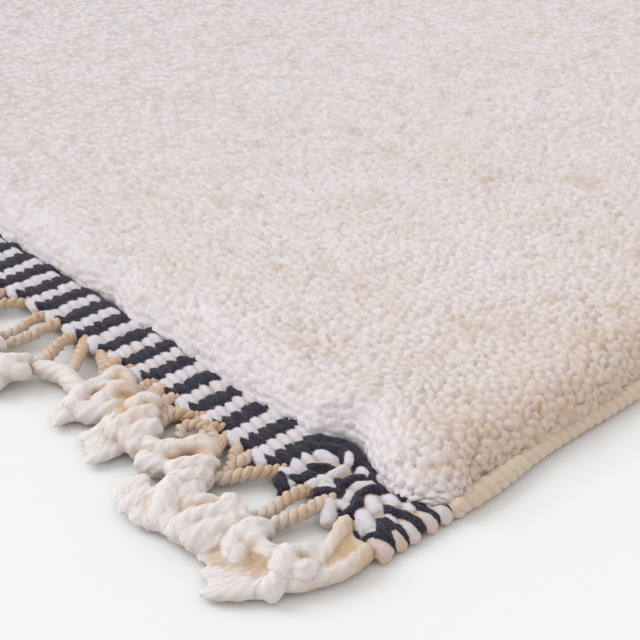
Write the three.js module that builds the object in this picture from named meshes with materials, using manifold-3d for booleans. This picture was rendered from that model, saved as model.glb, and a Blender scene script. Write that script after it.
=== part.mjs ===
// Hand-knotted wool rug lying flat: a dense cut pile, an overcast cord down each side, a striped
// flat-woven band at each end, and the warp ends beyond it knotted into an open fringe.
// Millimetres. X runs across the rug, Y along its warp, +Z is up, and the floor is z = 0.

import * as THREE from "three";
import { mergeVertices } from "three/addons/utils/BufferGeometryUtils.js";
import Module from "manifold-3d";

const wasm = await Module();
wasm.setup();

// Driving dimensions of the rug
const rugWidth = 1000;
const wovenLength = 1500;
const fringeReach = 80;
const pieceGap = 0.3;

// Pile
const pileHeight = 24;
const pileLump = 1.6;
const pileDrift = 3;
const cellsAcross = 28;
const cellsAlong = 42;
const shoulderWidth = 12;
const shoulderInset = 5;
const shoulderDrop = 4;
const lockReach = 6;
const lockHeight = 14;
const lockUneven = 1.4;
const dipRise = 2;
const footHeight = 10.5;
const cornerEase = 7;
const cornerReach = 2;

// Overcast cord down each side
const edgeCordWidth = 9.5;
const edgeCordHeight = 9;
const edgeCordSteps = 34;
const edgeCordWave = 1.4;
const edgeCordSag = 1;
// The cord's section: how far its foot and bend lie in from its outer side, and rises as shares of
// its height.
const edgeCordSection = { foot: 2, sideRise: 0.45, bend: 2.5, bendRise: 0.88, seamRise: 0.8 };
const edgeCordCrown = 3.5;

// Striped band at each end
const bandDepth = 30;
const ribPitch = 9;
const ribCrest = 8;
const ribValley = 6;

// Fringe. Sizes along a piece are shares of its length, and a lean moves its upper edge sideways.
const knotCount = 19;
const knotDistance = 36;
const knotWander = 4;
const knotWidth = 22;
const knotHeight = 14;
const rootDepth = 5;
const rootHeight = 6.5;
const rootInset = 1.5;
const cordSpread = 14;
const cordEnd = 8;
const knotShape = [
  { x: -12, y: 1, width: 0.7, height: 0.8, lean: 1 },
  { x: -2, y: 0, width: 1, height: 1, lean: -1 },
  { x: 12, y: -1, width: 0.75, height: 0.85, lean: 1 },
];
const loopShape = { bow: 5, width: 14, height: 9.5 };
const loopUneven = 3;
const knotDrift = 3;
const knotLean = 1.5;
const yarnTopShare = 0.6;
const cordShape = [
  { along: 0, width: 9, height: 8, lean: -1.2 },
  { along: 0.5, width: 8, height: 7.5, lean: 1.6 },
  { along: 1, width: 7, height: 7, lean: -1.2 },
];
const tailShape = [
  { along: 0, width: 17, height: 11, lean: 0 },
  { along: 0.5, width: 19, height: 10, lean: 1.5 },
  { along: 1, width: 8.5, height: 5, lean: 0 },
];
const tailDrift = 9;
const tailUneven = 7;

const halfWidth = rugWidth / 2;
const halfWoven = wovenLength / 2;
const footX = halfWidth - edgeCordWidth - pieceGap;
const footY = halfWoven - bandDepth;

// An even-looking number from -1 to 1 for each whole number n, the same on every run.
function uneven(n) {
  const s = Math.sin(n * 12.9898 + 4.1414) * 43758.5453;
  return 2 * (s - Math.floor(s)) - 1;
}

// A closed geometry as a solid that can be joined.
function solidOf(geometry) {
  geometry.deleteAttribute("normal");
  geometry.deleteAttribute("uv");
  const merged = mergeVertices(geometry, 1e-3);
  return new wasm.Manifold(
    new wasm.Mesh({
      numProp: 3,
      vertProperties: merged.attributes.position.array,
      triVerts: new Uint32Array(merged.index.array),
    }),
  );
}

// A joined solid as a geometry again.
function geometryOf(solid) {
  const mesh = solid.getMesh();
  return meshGeometry(Array.from(mesh.vertProperties), Array.from(mesh.triVerts));
}

function meshGeometry(positions, triangles) {
  const geometry = new THREE.BufferGeometry();
  geometry.setAttribute("position", new THREE.Float32BufferAttribute(positions, 3));
  geometry.setIndex(triangles);
  geometry.computeVertexNormals();
  return geometry;
}

// A closed body through rings of [x, y, z] points. Each ring runs anticlockwise as seen from the
// start of the row, and both ends are closed by a fan.
function loft(rings) {
  const n = rings[0].length;
  const triangles = [];
  for (let r = 0; r + 1 < rings.length; r++) {
    for (let i = 0; i < n; i++) {
      const a = r * n + i;
      const b = r * n + ((i + 1) % n);
      triangles.push(a, a + n, b + n, a, b + n, b);
    }
  }
  const last = (rings.length - 1) * n;
  for (let i = 1; i + 1 < n; i++) {
    triangles.push(0, i, i + 1, last, last + i + 1, last + i);
  }
  return meshGeometry(rings.flat(2), triangles);
}

// A four-sided yarn on the floor along stations { x, y, width, height, lean }: its foot is flat, and
// lean moves its upper edge to one side and the other, as the plies of a twisted yarn do.
function yarn(stations) {
  const rings = stations.map((s, k) => {
    const before = stations[Math.max(k - 1, 0)];
    const after = stations[Math.min(k + 1, stations.length - 1)];
    const run = Math.hypot(after.x - before.x, after.y - before.y);
    const acrossX = (after.y - before.y) / run;
    const acrossY = -(after.x - before.x) / run;
    const at = (side, z) => [s.x + acrossX * side, s.y + acrossY * side, z];
    const foot = s.width / 2;
    const top = foot * yarnTopShare;
    return [at(-foot, 0), at(foot, 0), at(top + s.lean, s.height), at(-top + s.lean, s.height)];
  });
  return loft(rings);
}

// Grid lines from -1 to 1 whose first and last cells are as narrow as the pile's shoulder.
function gridLines(half, cells) {
  const lines = [-1];
  const inner = 1 - shoulderWidth / half;
  for (let i = 0; i <= cells - 2; i++) {
    lines.push(-inner + (2 * inner * i) / (cells - 2));
  }
  lines.push(1);
  return lines;
}

// The pile: a slab with a lumpy top. Its rim hangs out in blunt locks over the edge cords and the
// bands, and below them it goes straight down to its foot.
function pileField() {
  const linesX = gridLines(footX, cellsAcross);
  const linesY = gridLines(footY, cellsAlong);
  const positions = [];
  const add = (x, y, z) => positions.push(x, y, z) / 3 - 1;
  const topX = footX - shoulderInset;
  const topY = footY - shoulderInset;
  const isRim = (i, j) => i === 0 || j === 0 || i === cellsAcross || j === cellsAlong;
  const isCorner = (i, j) => i % cellsAcross === 0 && j % cellsAlong === 0;

  const top = linesY.map((v, j) =>
    linesX.map((u, i) => {
      const seed = 61 * j + i;
      const z = pileHeight + pileLump * uneven(seed);
      if (!isRim(i, j)) {
        const [driftX, driftY] = [pileDrift * uneven(seed + 7000), pileDrift * uneven(seed + 9000)];
        return add(u * topX + driftX, v * topY + driftY, z);
      }
      const ease = isCorner(i, j) ? cornerEase : 0;
      return add(u * (topX - ease), v * (topY - ease), z - shoulderDrop);
    }),
  );

  const around = [];
  for (let i = 0; i < cellsAcross; i++) around.push([i, 0]);
  for (let j = 0; j < cellsAlong; j++) around.push([cellsAcross, j]);
  for (let i = cellsAcross; i > 0; i--) around.push([i, cellsAlong]);
  for (let j = cellsAlong; j > 0; j--) around.push([0, j]);
  const count = around.length;
  const foot = around.map(([i, j]) => [linesX[i] * footX, linesY[j] * footY]);

  const upper = around.map(([i, j]) => top[j][i]);
  const locks = [];
  foot.forEach(([x, y], k) => {
    const [nextX, nextY] = foot[(k + 1) % count];
    const run = Math.hypot(nextX - x, nextY - y);
    const outX = (nextY - y) / run;
    const outY = -(nextX - x) / run;
    const reach = run > shoulderWidth + 1 ? lockReach + lockUneven * uneven(k + 300) : 0;
    const ease = isCorner(...around[k]) ? cornerReach : 0;
    const tipHeight = lockHeight + lockUneven * uneven(k + 500);
    locks.push(add(x + Math.sign(x) * ease, y + Math.sign(y) * ease, lockHeight + dipRise));
    locks.push(add((x + nextX) / 2 + outX * reach, (y + nextY) / 2 + outY * reach, tipHeight));
  });
  const neck = foot.map(([x, y]) => add(x, y, footHeight));
  const sole = foot.map(([x, y]) => add(x, y, 0));
  const middle = add(0, 0, 0);

  const triangles = [];
  for (let j = 0; j < cellsAlong; j++) {
    for (let i = 0; i < cellsAcross; i++) {
      const [a, b] = [top[j][i], top[j][i + 1]];
      const [d, c] = [top[j + 1][i], top[j + 1][i + 1]];
      triangles.push(a, b, c, a, c, d);
    }
  }
  for (let k = 0; k < count; k++) {
    const next = (k + 1) % count;
    const [dip, tip, nextDip] = [locks[2 * k], locks[2 * k + 1], locks[2 * next]];
    triangles.push(dip, tip, upper[k], tip, upper[next], upper[k], tip, nextDip, upper[next]);
    triangles.push(neck[k], neck[next], tip, neck[k], tip, dip, neck[next], nextDip, tip);
    triangles.push(sole[k], sole[next], neck[next], sole[k], neck[next], neck[k]);
    triangles.push(middle, sole[next], sole[k]);
  }
  return meshGeometry(positions, triangles);
}

// The overcast cord along the right side: a rounded section on a flat foot, a little wavy outside.
function edgeCord() {
  const inner = halfWidth - edgeCordWidth;
  const section = edgeCordSection;
  const rings = [];
  for (let k = 0; k <= edgeCordSteps; k++) {
    const y = -halfWoven + (wovenLength * k) / edgeCordSteps;
    const outer = halfWidth - (edgeCordWave * (1 - uneven(k + 40))) / 2;
    const crown = edgeCordHeight - (edgeCordSag * (1 - uneven(k + 90))) / 2;
    rings.push([
      [inner, y, 0],
      [outer - section.foot, y, 0],
      [outer, y, crown * section.sideRise],
      [outer - section.bend, y, crown * section.bendRise],
      [inner + edgeCordCrown, y, crown],
      [inner, y, crown * section.seamRise],
    ]);
  }
  return loft(rings);
}

// The front band: its ribs run out along the warp and are raised in the cross-section.
function endBand() {
  const width = 2 * footX;
  const ribs = Math.floor(width / ribPitch);
  const pitch = width / ribs;
  const outline = new THREE.Shape();
  outline.moveTo(-footX, 0);
  outline.lineTo(footX, 0);
  outline.lineTo(footX, ribValley);
  for (let k = ribs - 1; k >= 0; k--) {
    outline.lineTo(-footX + (k + 0.5) * pitch, ribCrest);
    outline.lineTo(-footX + k * pitch, ribValley);
  }
  const depth = bandDepth - pieceGap;
  const geometry = new THREE.ExtrudeGeometry(outline, { depth, steps: 1, bevelEnabled: false });
  geometry.rotateX(Math.PI / 2);
  geometry.translate(0, -footY - pieceGap, 0);
  return geometry;
}

// A straight yarn of one of the shapes above, from one place { x, y } to another.
function straightYarn(shape, from, to) {
  return yarn(
    shape.map((s) => ({
      ...s,
      x: from.x + (to.x - from.x) * s.along,
      y: from.y + (to.y - from.y) * s.along,
    })),
  );
}

// The front fringe. Twisted cords leave a narrow root strip in pairs, each pair ends in a soft knot,
// thick loops of yarn join the knots in a chain, and a loose tail runs out of each knot.
function fringe() {
  const edge = -halfWoven - pieceGap;
  const root = new THREE.BoxGeometry(rugWidth - 2 * rootInset, rootDepth, rootHeight);
  root.translate(0, edge - rootDepth / 2, rootHeight / 2);
  const pitch = rugWidth / knotCount;
  const pieces = [root];
  const chain = [];
  for (let k = 0; k < knotCount; k++) {
    const middle = (k + 0.5 - knotCount / 2) * pitch;
    const x = middle + knotDrift * uneven(k + 11);
    const y = edge - knotDistance - knotWander * uneven(k + 23);
    const lean = knotLean * uneven(k + 31);
    knotShape.forEach((s) => {
      const [width, height] = [s.width * knotWidth, s.height * knotHeight];
      chain.push({ x: x + s.x, y: y + s.y, width, height, lean: lean * s.lean });
    });
    if (k + 1 < knotCount) {
      const bow = loopShape.bow + loopUneven * uneven(k + 71);
      chain.push({ ...loopShape, x: x + pitch / 2, y: y - bow, lean: 0 });
    }
    [-1, 1].forEach((side) => {
      const from = { x: middle + side * cordSpread, y: edge - rootDepth / 2 };
      const to = { x: x + side * cordEnd, y: y + knotWidth / 4 };
      pieces.push(straightYarn(cordShape, from, to));
    });
    const tip = edge - fringeReach + pieceGap + tailUneven * (1 + uneven(k + 67));
    const from = { x, y: y - knotWidth / 4 };
    const to = { x: x + tailDrift * uneven(k + 53), y: tip };
    pieces.push(straightYarn(tailShape, from, to));
  }
  pieces.push(yarn(chain));
  return geometryOf(pieces.map(solidOf).reduce((all, piece) => all.add(piece)));
}

const creamPile = new THREE.MeshStandardMaterial({ color: 0xded2cb, roughness: 0.95, metalness: 0 });
const overcastWool = new THREE.MeshStandardMaterial({ color: 0xd1c3b4, roughness: 0.9, metalness: 0 });
const stripedWeave = new THREE.MeshStandardMaterial({ color: 0x8a8288, roughness: 0.9, metalness: 0 });
const warpYarn = new THREE.MeshStandardMaterial({ color: 0xd9cbb9, roughness: 0.9, metalness: 0 });

// The far end and the left side are the same pieces turned half round.
function addPair(group, names, geometry, material) {
  names.forEach((name, half) => {
    const piece = new THREE.Mesh(geometry, material);
    piece.name = name;
    piece.rotation.z = half * Math.PI;
    group.add(piece);
  });
}

const rug = new THREE.Group();
const pile = new THREE.Mesh(pileField(), creamPile);
pile.name = "pile_field";
rug.add(pile);
addPair(rug, ["edge_cord_right", "edge_cord_left"], edgeCord(), overcastWool);
addPair(rug, ["end_band_front", "end_band_back"], endBand(), stripedWeave);
addPair(rug, ["fringe_front", "fringe_back"], fringe(), warpYarn);

export default rug;
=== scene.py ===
"""A cream pile rug with striped end bands and a knotted fringe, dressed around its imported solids.

Shapes are worked out in millimetres and put into Blender in metres. X runs across the rug, Y along
its warp, +Z is up, and the near end of the rug is at -Y. Numbers in the tables are millimetres from
the woven corner at +X, -Y: x is negative towards the middle, y is positive towards the far end.
"""

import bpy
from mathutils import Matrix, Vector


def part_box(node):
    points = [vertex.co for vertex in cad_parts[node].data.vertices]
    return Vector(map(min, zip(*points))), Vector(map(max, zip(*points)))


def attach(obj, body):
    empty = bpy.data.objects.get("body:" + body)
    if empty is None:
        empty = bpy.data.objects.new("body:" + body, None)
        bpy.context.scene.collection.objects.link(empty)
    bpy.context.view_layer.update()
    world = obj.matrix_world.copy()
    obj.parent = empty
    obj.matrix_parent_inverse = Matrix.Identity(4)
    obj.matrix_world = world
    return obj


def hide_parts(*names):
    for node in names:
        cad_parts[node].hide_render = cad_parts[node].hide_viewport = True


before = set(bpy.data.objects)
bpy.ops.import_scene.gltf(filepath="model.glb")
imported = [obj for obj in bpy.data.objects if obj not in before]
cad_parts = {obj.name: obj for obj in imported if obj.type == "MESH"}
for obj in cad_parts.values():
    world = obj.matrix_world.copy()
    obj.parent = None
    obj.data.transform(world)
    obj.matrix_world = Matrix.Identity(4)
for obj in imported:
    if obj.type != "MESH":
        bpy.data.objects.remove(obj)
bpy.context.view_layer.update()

import copy
import itertools

import bpy
import numpy as np
from bpy.props import FloatProperty, FloatVectorProperty
from mathutils import Vector

bl_info = {
    "name": "Cream Pile Rug",
    "version": (1, 0, 0),
    "blender": (4, 5, 0),
    "location": "3D View > Sidebar > Rug",
    "description": "Tufted pile, striped end bands, overcast edge cords and knotted fringe",
    "category": "Add Mesh",
}

MM = 0.001
BODY = "root"
# How far the lowest yarns and the edge cords stay above the floor
LOWEST = 0.12
LOWEST_CORD = 0.15


def box_mm(node):
    """The lowest and highest corner of a solid, in millimetres."""
    low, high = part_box(node)
    return np.array(low) / MM, np.array(high) / MM


CORD_LOW, CORD_HIGH = box_mm("edge_cord_right")
HALF_WIDTH = round(CORD_HIGH[0])
HALF_WOVEN = round(CORD_HIGH[1])
CORD_HEIGHT = CORD_HIGH[2]
# The pile's foot ends where the edge cords and the end bands begin
FOOT_X = CORD_LOW[0]
FOOT_Y = -box_mm("end_band_front")[1][1]


def add_object(name, data):
    """Links a new object to the scene."""
    thing = bpy.data.objects.new(name, data)
    bpy.context.scene.collection.objects.link(thing)
    return thing


# Numbers that look even, and soft noise

def scatter(*whole, seed=0):
    """A number from 0 to 1 for whole numbers: the fraction left of a large sine of their sum."""
    total = seed * 78.233 + sum(w * k for w, k in zip(whole, (12.9898, 37.719, 57.583)))
    value = np.sin(total) * 43758.5453
    return value - np.floor(value)


def soft_noise(x, y, z, size, seed):
    """Noise from -1 to 1: random numbers on a cubic lattice, blended with smoothstep weights."""
    place = np.stack(np.broadcast_arrays(x, y, z), -1) / size
    cell = np.floor(place)
    part = place - cell
    ease = part * part * (3 - 2 * part)
    total = 0
    for corner in itertools.product((0, 1), repeat=3):
        share = 1
        for axis, far in enumerate(corner):
            share = share * (ease[..., axis] if far else 1 - ease[..., axis])
        lattice = [cell[..., axis] + far for axis, far in enumerate(corner)]
        total = total + share * scatter(*lattice, seed=seed)
    return 2 * total - 1


def unit(vectors):
    """The vectors made one long."""
    return vectors / np.maximum(np.linalg.norm(vectors, axis=-1, keepdims=True), 1e-9)


# Meshes

def fill(values, field, data, kind=np.float32):
    """Puts an array into one value of every item of a mesh."""
    values.foreach_set(field, np.asarray(data).astype(kind).ravel())


def read_mesh(values, field, kind, width=1):
    """One value of every item of a mesh, as an array."""
    found = np.empty(len(values) * width, kind)
    values.foreach_get(field, found)
    return found.reshape(-1, width) if width > 1 else found


class Piece:
    """The surfaces of one piece: points in millimetres, faces, and what the wool materials read.

    fibre is the place along and around a yarn as if it lay straight and untwisted, tone is one
    number for each tuft or yarn, and the painted shade says how far a point is painted towards the
    warm shade colour, in crevices and on sides turned from the light; below 0 it paints light. dye
    is 0 for cream and 1 for black, and on the pile it says how much of the tufts the shader draws.
    """

    def __init__(self):
        self.points = []
        self.faces = []
        self.smooth = []
        self.values = {"fibre": [], "tone": [], "dye": [], "deep": []}
        self.count = 0

    def add(self, points, faces, fibre=None, tone=0.0, dye=0.0, deep=0.0, smooth=True):
        """Adds points of any grid shape and arrays of faces that count from the first of them."""
        shape = points.shape[:-1]
        flat = points.reshape(-1, 3)
        self.points.append(flat)
        self.faces += [np.asarray(f) + self.count for f in faces]
        self.smooth += [smooth] * len(faces)
        fibre = flat if fibre is None else fibre.reshape(-1, 3)
        self.values["fibre"].append(fibre * MM)
        for name, value in (("tone", tone), ("dye", dye), ("deep", deep)):
            self.values[name].append(np.broadcast_to(value, shape).ravel())
        self.count += len(flat)

    def turned(self):
        """The same piece turned half round about the upright axis."""
        other = copy.copy(self)
        other.points = [p * (-1, -1, 1) for p in self.points]
        return other

    def mesh(self, name):
        """Makes the mesh, in metres, with the values as attributes of its points."""
        mesh = bpy.data.meshes.new(name)
        mesh.vertices.add(self.count)
        fill(mesh.vertices, "co", np.concatenate(self.points) * MM)
        corners = np.concatenate([f.ravel() for f in self.faces])
        sizes = np.concatenate([np.full(len(f), f.shape[1]) for f in self.faces])
        smooth = np.concatenate([np.full(len(f), s) for f, s in zip(self.faces, self.smooth)])
        mesh.loops.add(len(corners))
        fill(mesh.loops, "vertex_index", corners, np.int32)
        mesh.polygons.add(len(sizes))
        fill(mesh.polygons, "loop_start", np.cumsum(sizes) - sizes, np.int32)
        fill(mesh.polygons, "use_smooth", smooth, bool)
        mesh.update(calc_edges=True)
        for key, value in self.values.items():
            kind, field = ("FLOAT_VECTOR", "vector") if key == "fibre" else ("FLOAT", "value")
            fill(mesh.attributes.new(key, kind, "POINT").data, field, np.concatenate(value))
        return mesh

    def build(self, name, material, slot, *nodes):
        """Makes the mesh object, rides it on the rug and lets it stand for the given solids."""
        piece = add_object(name, self.mesh(name))
        piece.data.materials.append(material)
        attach(piece, BODY)
        if nodes:
            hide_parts(*nodes)
        return piece

    def build_both(self, names, material, slot, nodes):
        """Makes the piece and the same one turned half round, each standing for its own solid."""
        for piece, name, node in zip((self, self.turned()), names, nodes):
            piece.build(name, material, slot, node)


def grid_faces(rows, columns, closed=False):
    """Four-sided faces of a grid of points, with the seam closed where its columns come round."""
    start = np.arange(rows - 1)[:, None] * columns
    here = np.arange(columns if closed else columns - 1)[None]
    beside = (here + 1) % columns
    corners = (start + here, start + columns + here, start + columns + beside, start + beside)
    return np.stack(corners, -1).reshape(-1, 4)


def repeat_faces(faces, copies, step):
    """The same faces for each of several copies whose points follow each other."""
    return (faces[None] + np.arange(copies)[:, None, None] * step).reshape(-1, faces.shape[1])


# Yarns

def smooth_path(points, count):
    """A path through given points: Catmull-Rom spans, sampled evenly over their number."""
    points = np.asarray(points, float)[None]
    ends = [2 * points[:, :1] - points[:, 1:2], points, 2 * points[:, -1:] - points[:, -2:-1]]
    p = np.concatenate(ends, 1)
    spans = points.shape[1] - 1
    at = np.linspace(0, spans, count)
    k = np.minimum(at.astype(int), spans - 1)
    t = (at - k)[None, :, None]
    a, b, c, d = (p[:, k + i] for i in range(4))
    bend = 2 * b + (c - a) * t + (2 * a - 5 * b + 4 * c - d) * t**2 + (3 * b - a - 3 * c + d) * t**3
    return bend / 2


def distance_along(paths):
    """Distance along each path from its start."""
    steps = np.linalg.norm(np.diff(paths, axis=1), axis=-1)
    return np.concatenate([np.zeros((len(paths), 1)), np.cumsum(steps, 1)], 1)


def frames(paths):
    """Directions along, across and above paths: across is level and square to the path."""
    along = unit(np.gradient(paths, axis=1))
    across = unit(np.cross(along, (0.0, 0.0, 1.0)))
    return along, across, np.cross(across, along)


# How far apart the fibres of two yarns lie in the pattern that the wool reads
YARN_APART = 37.0


def add_yarns(piece, paths, across, above, sides, twist=0.0, groove=0.0, tone=0.0, deep=0.0, seed=0):
    """Adds yarns along k paths of n points: at each point an ellipse whose half widths are across
    and above, pressed in by shallow grooves that wander round it: a cosine of three times the angle
    and one of five times. Ends close with one face. twist is how fast the fibres turn round the
    yarn, in turns per millimetre."""
    k, n = paths.shape[:2]
    _, side, up = frames(paths)
    run = distance_along(paths)
    angle = 2 * np.pi * np.arange(sides) / sides
    shape = (k, n, sides)
    number = np.arange(k)[:, None, None] + seed * 1.7
    wander = 0.9 * np.sin(run[..., None] * 0.11 + number * 2.3)
    dent = 1 + groove * (np.cos(3 * angle + wander + number) + 0.6 * np.cos(5 * angle - wander))
    across = (np.broadcast_to(across, (k, n))[..., None] * dent)[..., None]
    above = (np.broadcast_to(above, (k, n))[..., None] * dent)[..., None]
    ring = side[:, :, None] * np.cos(angle)[:, None] * across
    ring = ring + up[:, :, None] * np.sin(angle)[:, None] * above
    points = paths[:, :, None] + ring
    turn = angle - 2 * np.pi * twist * run[..., None]
    radius = np.linalg.norm(ring, axis=-1)
    place = np.broadcast_to(run[..., None], shape) + number * YARN_APART
    fibre = np.stack([place, radius * np.cos(turn) + number * 3.1, radius * np.sin(turn)], -1)
    first = np.arange(sides)[None]
    last = (n - 1) * sides + first[:, ::-1]
    faces = [repeat_faces(part, k, n * sides) for part in (grid_faces(n, sides, True), first, last)]
    spread = {}
    for name, value in (("tone", tone), ("deep", deep)):
        value = np.asarray(value, float)
        spread[name] = np.broadcast_to(value.reshape(value.shape + (1,) * (3 - value.ndim)), shape)
    piece.add(points, faces, fibre, **spread)


def rounded(t, ease=0.2, blunt=0.35):
    """The share of a yarn's width at places from 0 to 1: full, and rounded off at both ends."""
    near = np.clip(np.minimum(t, 1 - t) / ease, 0, 1)
    return blunt + (1 - blunt) * np.sqrt(1 - (1 - near) ** 2)


def tapered(t):
    """The share of a loose end's width: full at its knot, and thinning towards its tip."""
    return rounded(t) * (1 - 0.5 * np.clip((t - 0.35) / 0.65, 0, 1))


def leaf(t):
    """The share of a petal's width: narrow at its start, widest near its end, then rounded off."""
    grow = 0.52 + 0.48 * np.clip(t / 0.6, 0, 1)
    return grow * np.sqrt(1 - 0.8 * np.clip((t - 0.7) / 0.3, 0, 1) ** 2)


def wedge(t):
    """The share of a wedge's width: full after a rounded start, and pointed at its end."""
    return (0.5 + 0.5 * np.clip(t / 0.2, 0, 1)) * (0.1 + 0.9 * (1 - t) ** 0.8)


# Felted yarns

# How fast the fibres of a felted yarn turn, in turns per millimetre
FELT_TWIST = 0.03
# How far a point may lie from the yarn that it belongs to, and how many points are looked up at once
FELT_REACH = 14
FELT_POINTS = 1200
# How much further than a cream yarn a black one spreads at their meeting
BLACK_LEAD = 0.2


def lay_strand(points, width, height, shape=rounded, step=1.4, tone=0.0, dye=0.0):
    """One yarn of a felted mass through given points: its path, half widths, half heights, tone
    and dye. shape gives the share of its size at places from 0 to 1 along it."""
    length = np.linalg.norm(np.diff(points, axis=0), axis=1).sum()
    rings = int(length / step) + 5
    share = shape(np.linspace(0, 1, rings))
    return smooth_path(points, rings), width * share, height * share, tone, dye


def smoothed(values, edges, times):
    """Values at the points, moved half way to the mean of their neighbours, several times over."""
    count = len(values)
    both = np.concatenate([edges, edges[:, ::-1]])
    degree = np.maximum(np.bincount(both[:, 0], minlength=count), 1)
    for _ in range(times):
        total = [np.bincount(both[:, 0], values[both[:, 1], i], count) for i in range(values.shape[1])]
        values = 0.5 * values + 0.5 * np.stack(total, -1) / degree[:, None]
    return values


def yarn_values(points, strands):
    """What the wool reads at points of a felted mass, from the nearest ring of any strand: distance
    along it, then the place across and above it, turned back by its twist; its tone; and the dye,
    which goes smoothly from 0 to 1 as the nearest black yarn comes closer than the nearest cream."""
    rings = []
    for number, (path, across, _, own, dyed) in enumerate(strands):
        run = distance_along(path)[0] + number * YARN_APART
        ring = (path[0], *(way[0] for way in frames(path)), run, np.maximum(across, 0.8))
        rings.append(ring + tuple(np.broadcast_to(value, len(run)) for value in (own, dyed)))
    centre, along, side, up, run, size, tone, dye = (np.concatenate(part) for part in zip(*rings))
    best = np.empty(len(points), int)
    share = np.empty(len(points))
    order = np.argsort(points[:, 0])
    for part in np.array_split(order, len(points) // FELT_POINTS + 1):
        low, high = points[part[0], 0] - FELT_REACH, points[part[-1], 0] + FELT_REACH
        near = np.flatnonzero((centre[:, 0] > low) & (centre[:, 0] < high))
        gap = np.linalg.norm(points[part][:, None] - centre[near][None], axis=-1) - size[near]
        best[part] = near[gap.argmin(1)]
        cream, black = (np.where(dye[near] == kind, gap, 4.0).min(1) for kind in (0, 1))
        share[part] = np.clip(0.5 + (cream - black + BLACK_LEAD) / 2, 0, 1)
    away = points - centre[best]
    place = run[best] + (away * along[best]).sum(-1)
    x, z = (away * side[best]).sum(-1), (away * up[best]).sum(-1)
    turn = 2 * np.pi * FELT_TWIST * place
    fibre = np.stack([place, x * np.cos(turn) + z * np.sin(turn),
                      z * np.cos(turn) - x * np.sin(turn)], -1)
    return fibre, tone[best], share


def move_points(mesh, points):
    """Moves the points of a mesh and gives back the directions in which they now face."""
    fill(mesh.vertices, "co", points * MM)
    mesh.update()
    return read_mesh(mesh.vertex_normals, "vector", np.float32, 3)


def add_felt(piece, strands, voxel, softness, fold, depth, flank, ply=0.0, bed=None):
    """Adds one soft mass of many strands, and of a bed under them: their union on a grid of voxels,
    smoothed. Painted shade goes where a point lies below a copy of the surface that is smoothed over
    the width of a fold, with depth as its strength, and where the surface turns away from above, with
    flank as its strength. ply is the height of the rounded ridges that wind along each yarn, a
    cosine of five times the angle round it."""
    rough = bed or Piece()
    for path, across, above, *_ in strands:
        add_yarns(rough, path, across, above, 12, groove=0.04)
    thing = add_object("felting", rough.mesh("felting"))
    thing.data.remesh_voxel_size = voxel * MM
    thing.data.use_remesh_preserve_attributes = False
    with bpy.context.temp_override(active_object=thing, object=thing, selected_objects=[thing]):
        bpy.ops.object.voxel_remesh()
    mesh = thing.data
    edges = read_mesh(mesh.edges, "vertices", np.int32, 2)
    start = read_mesh(mesh.vertices, "co", np.float32, 3).astype(float) / MM
    points = smoothed(start, edges, softness)
    broad = smoothed(points, edges, int(2 * (fold / voxel) ** 2))
    fibre, tone, dye = yarn_values(points, strands)
    tone = smoothed(tone[:, None], edges, softness)[:, 0]
    ridge = np.cos(5 * np.arctan2(fibre[:, 2], fibre[:, 1]))
    ridge = ply * smoothed(ridge[:, None], edges, 1)
    points = points + move_points(mesh, points) * ridge
    points[:, 2] = np.maximum(points[:, 2], LOWEST)
    normals = move_points(mesh, points)
    # Painted shade: in crevices below the broad copy of the surface, and on surfaces that turn away from
    # above
    sink = np.clip(((broad - points) * normals).sum(-1) * depth, -0.3, 0.9)
    sink = sink + flank * (1 - np.clip(normals[:, 2], 0, 1)) ** 1.5
    sink = smoothed(sink[:, None], edges, softness // 2)[:, 0]
    sizes = read_mesh(mesh.polygons, "loop_total", np.int32)
    if sizes.min() != 4 or sizes.max() != 4:
        raise RuntimeError("the felted yarns aren't all four-sided faces")
    faces = read_mesh(mesh.loops, "vertex_index", np.int32).reshape(-1, 4)
    bpy.data.objects.remove(thing)
    bpy.data.meshes.remove(mesh)
    piece.add(points, [faces], fibre, tone, dye, sink)


# Settings

LENGTH = {"min": 0.0001, "max": 0.1, "unit": "LENGTH", "precision": 5}
COLOUR = {"size": 3, "min": 0, "max": 1, "subtype": "COLOR"}


class RugPileSettings(bpy.types.PropertyGroup):
    """Sizes and colours of the pile."""

    top: FloatProperty(
        name="Pile Top", description="Height of the tufts' ends above the floor",
        default=0.0238, **LENGTH)
    tuft: FloatProperty(
        name="Tuft", description="Distance from one tuft to the next",
        default=0.0053, **LENGTH)
    crown: FloatProperty(
        name="Tuft Crown", description="How far a tuft's middle stands above the crevices round it",
        default=0.0012, **LENGTH)
    fine: FloatProperty(
        name="Finest Cell", description="Grid cell at the corner that is seen closest",
        default=0.0012, **LENGTH)
    colour: FloatVectorProperty(
        name="Wool", description="Undyed wool at the tufts' ends",
        default=(0.74, 0.70, 0.73), **COLOUR)
    # Painted shade: the warm colour painted into the crevices between the tufts and over the pile's
    # sides
    shade: FloatVectorProperty(
        name="Crevices", description="Warm wool between the tufts",
        default=(0.58, 0.43, 0.31), **COLOUR)


class RugBandSettings(bpy.types.PropertyGroup):
    """Sizes and colours of the striped end bands."""

    stripe: FloatProperty(
        name="Stripe Pitch", description="Distance from one black stripe to the next",
        default=0.01835, **LENGTH)
    pick: FloatProperty(
        name="Pick", description="Distance from one bead of a stripe to the next",
        default=0.0055, **LENGTH)
    cream: FloatVectorProperty(
        name="Cream Weft", description="Undyed weft", default=(0.64, 0.615, 0.67), **COLOUR)
    # Painted shade: the warm colour painted between the wefts, on their undersides and in the grooves
    # between the turns of the edge cords
    shade: FloatVectorProperty(
        name="Weft Shade", description="Warm tone between the wefts and the turns of the edge cords",
        default=(0.57, 0.42, 0.30), **COLOUR)
    black: FloatVectorProperty(
        name="Black Weft", description="Blue-black dyed weft", default=(0.011, 0.010, 0.017), **COLOUR)


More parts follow.
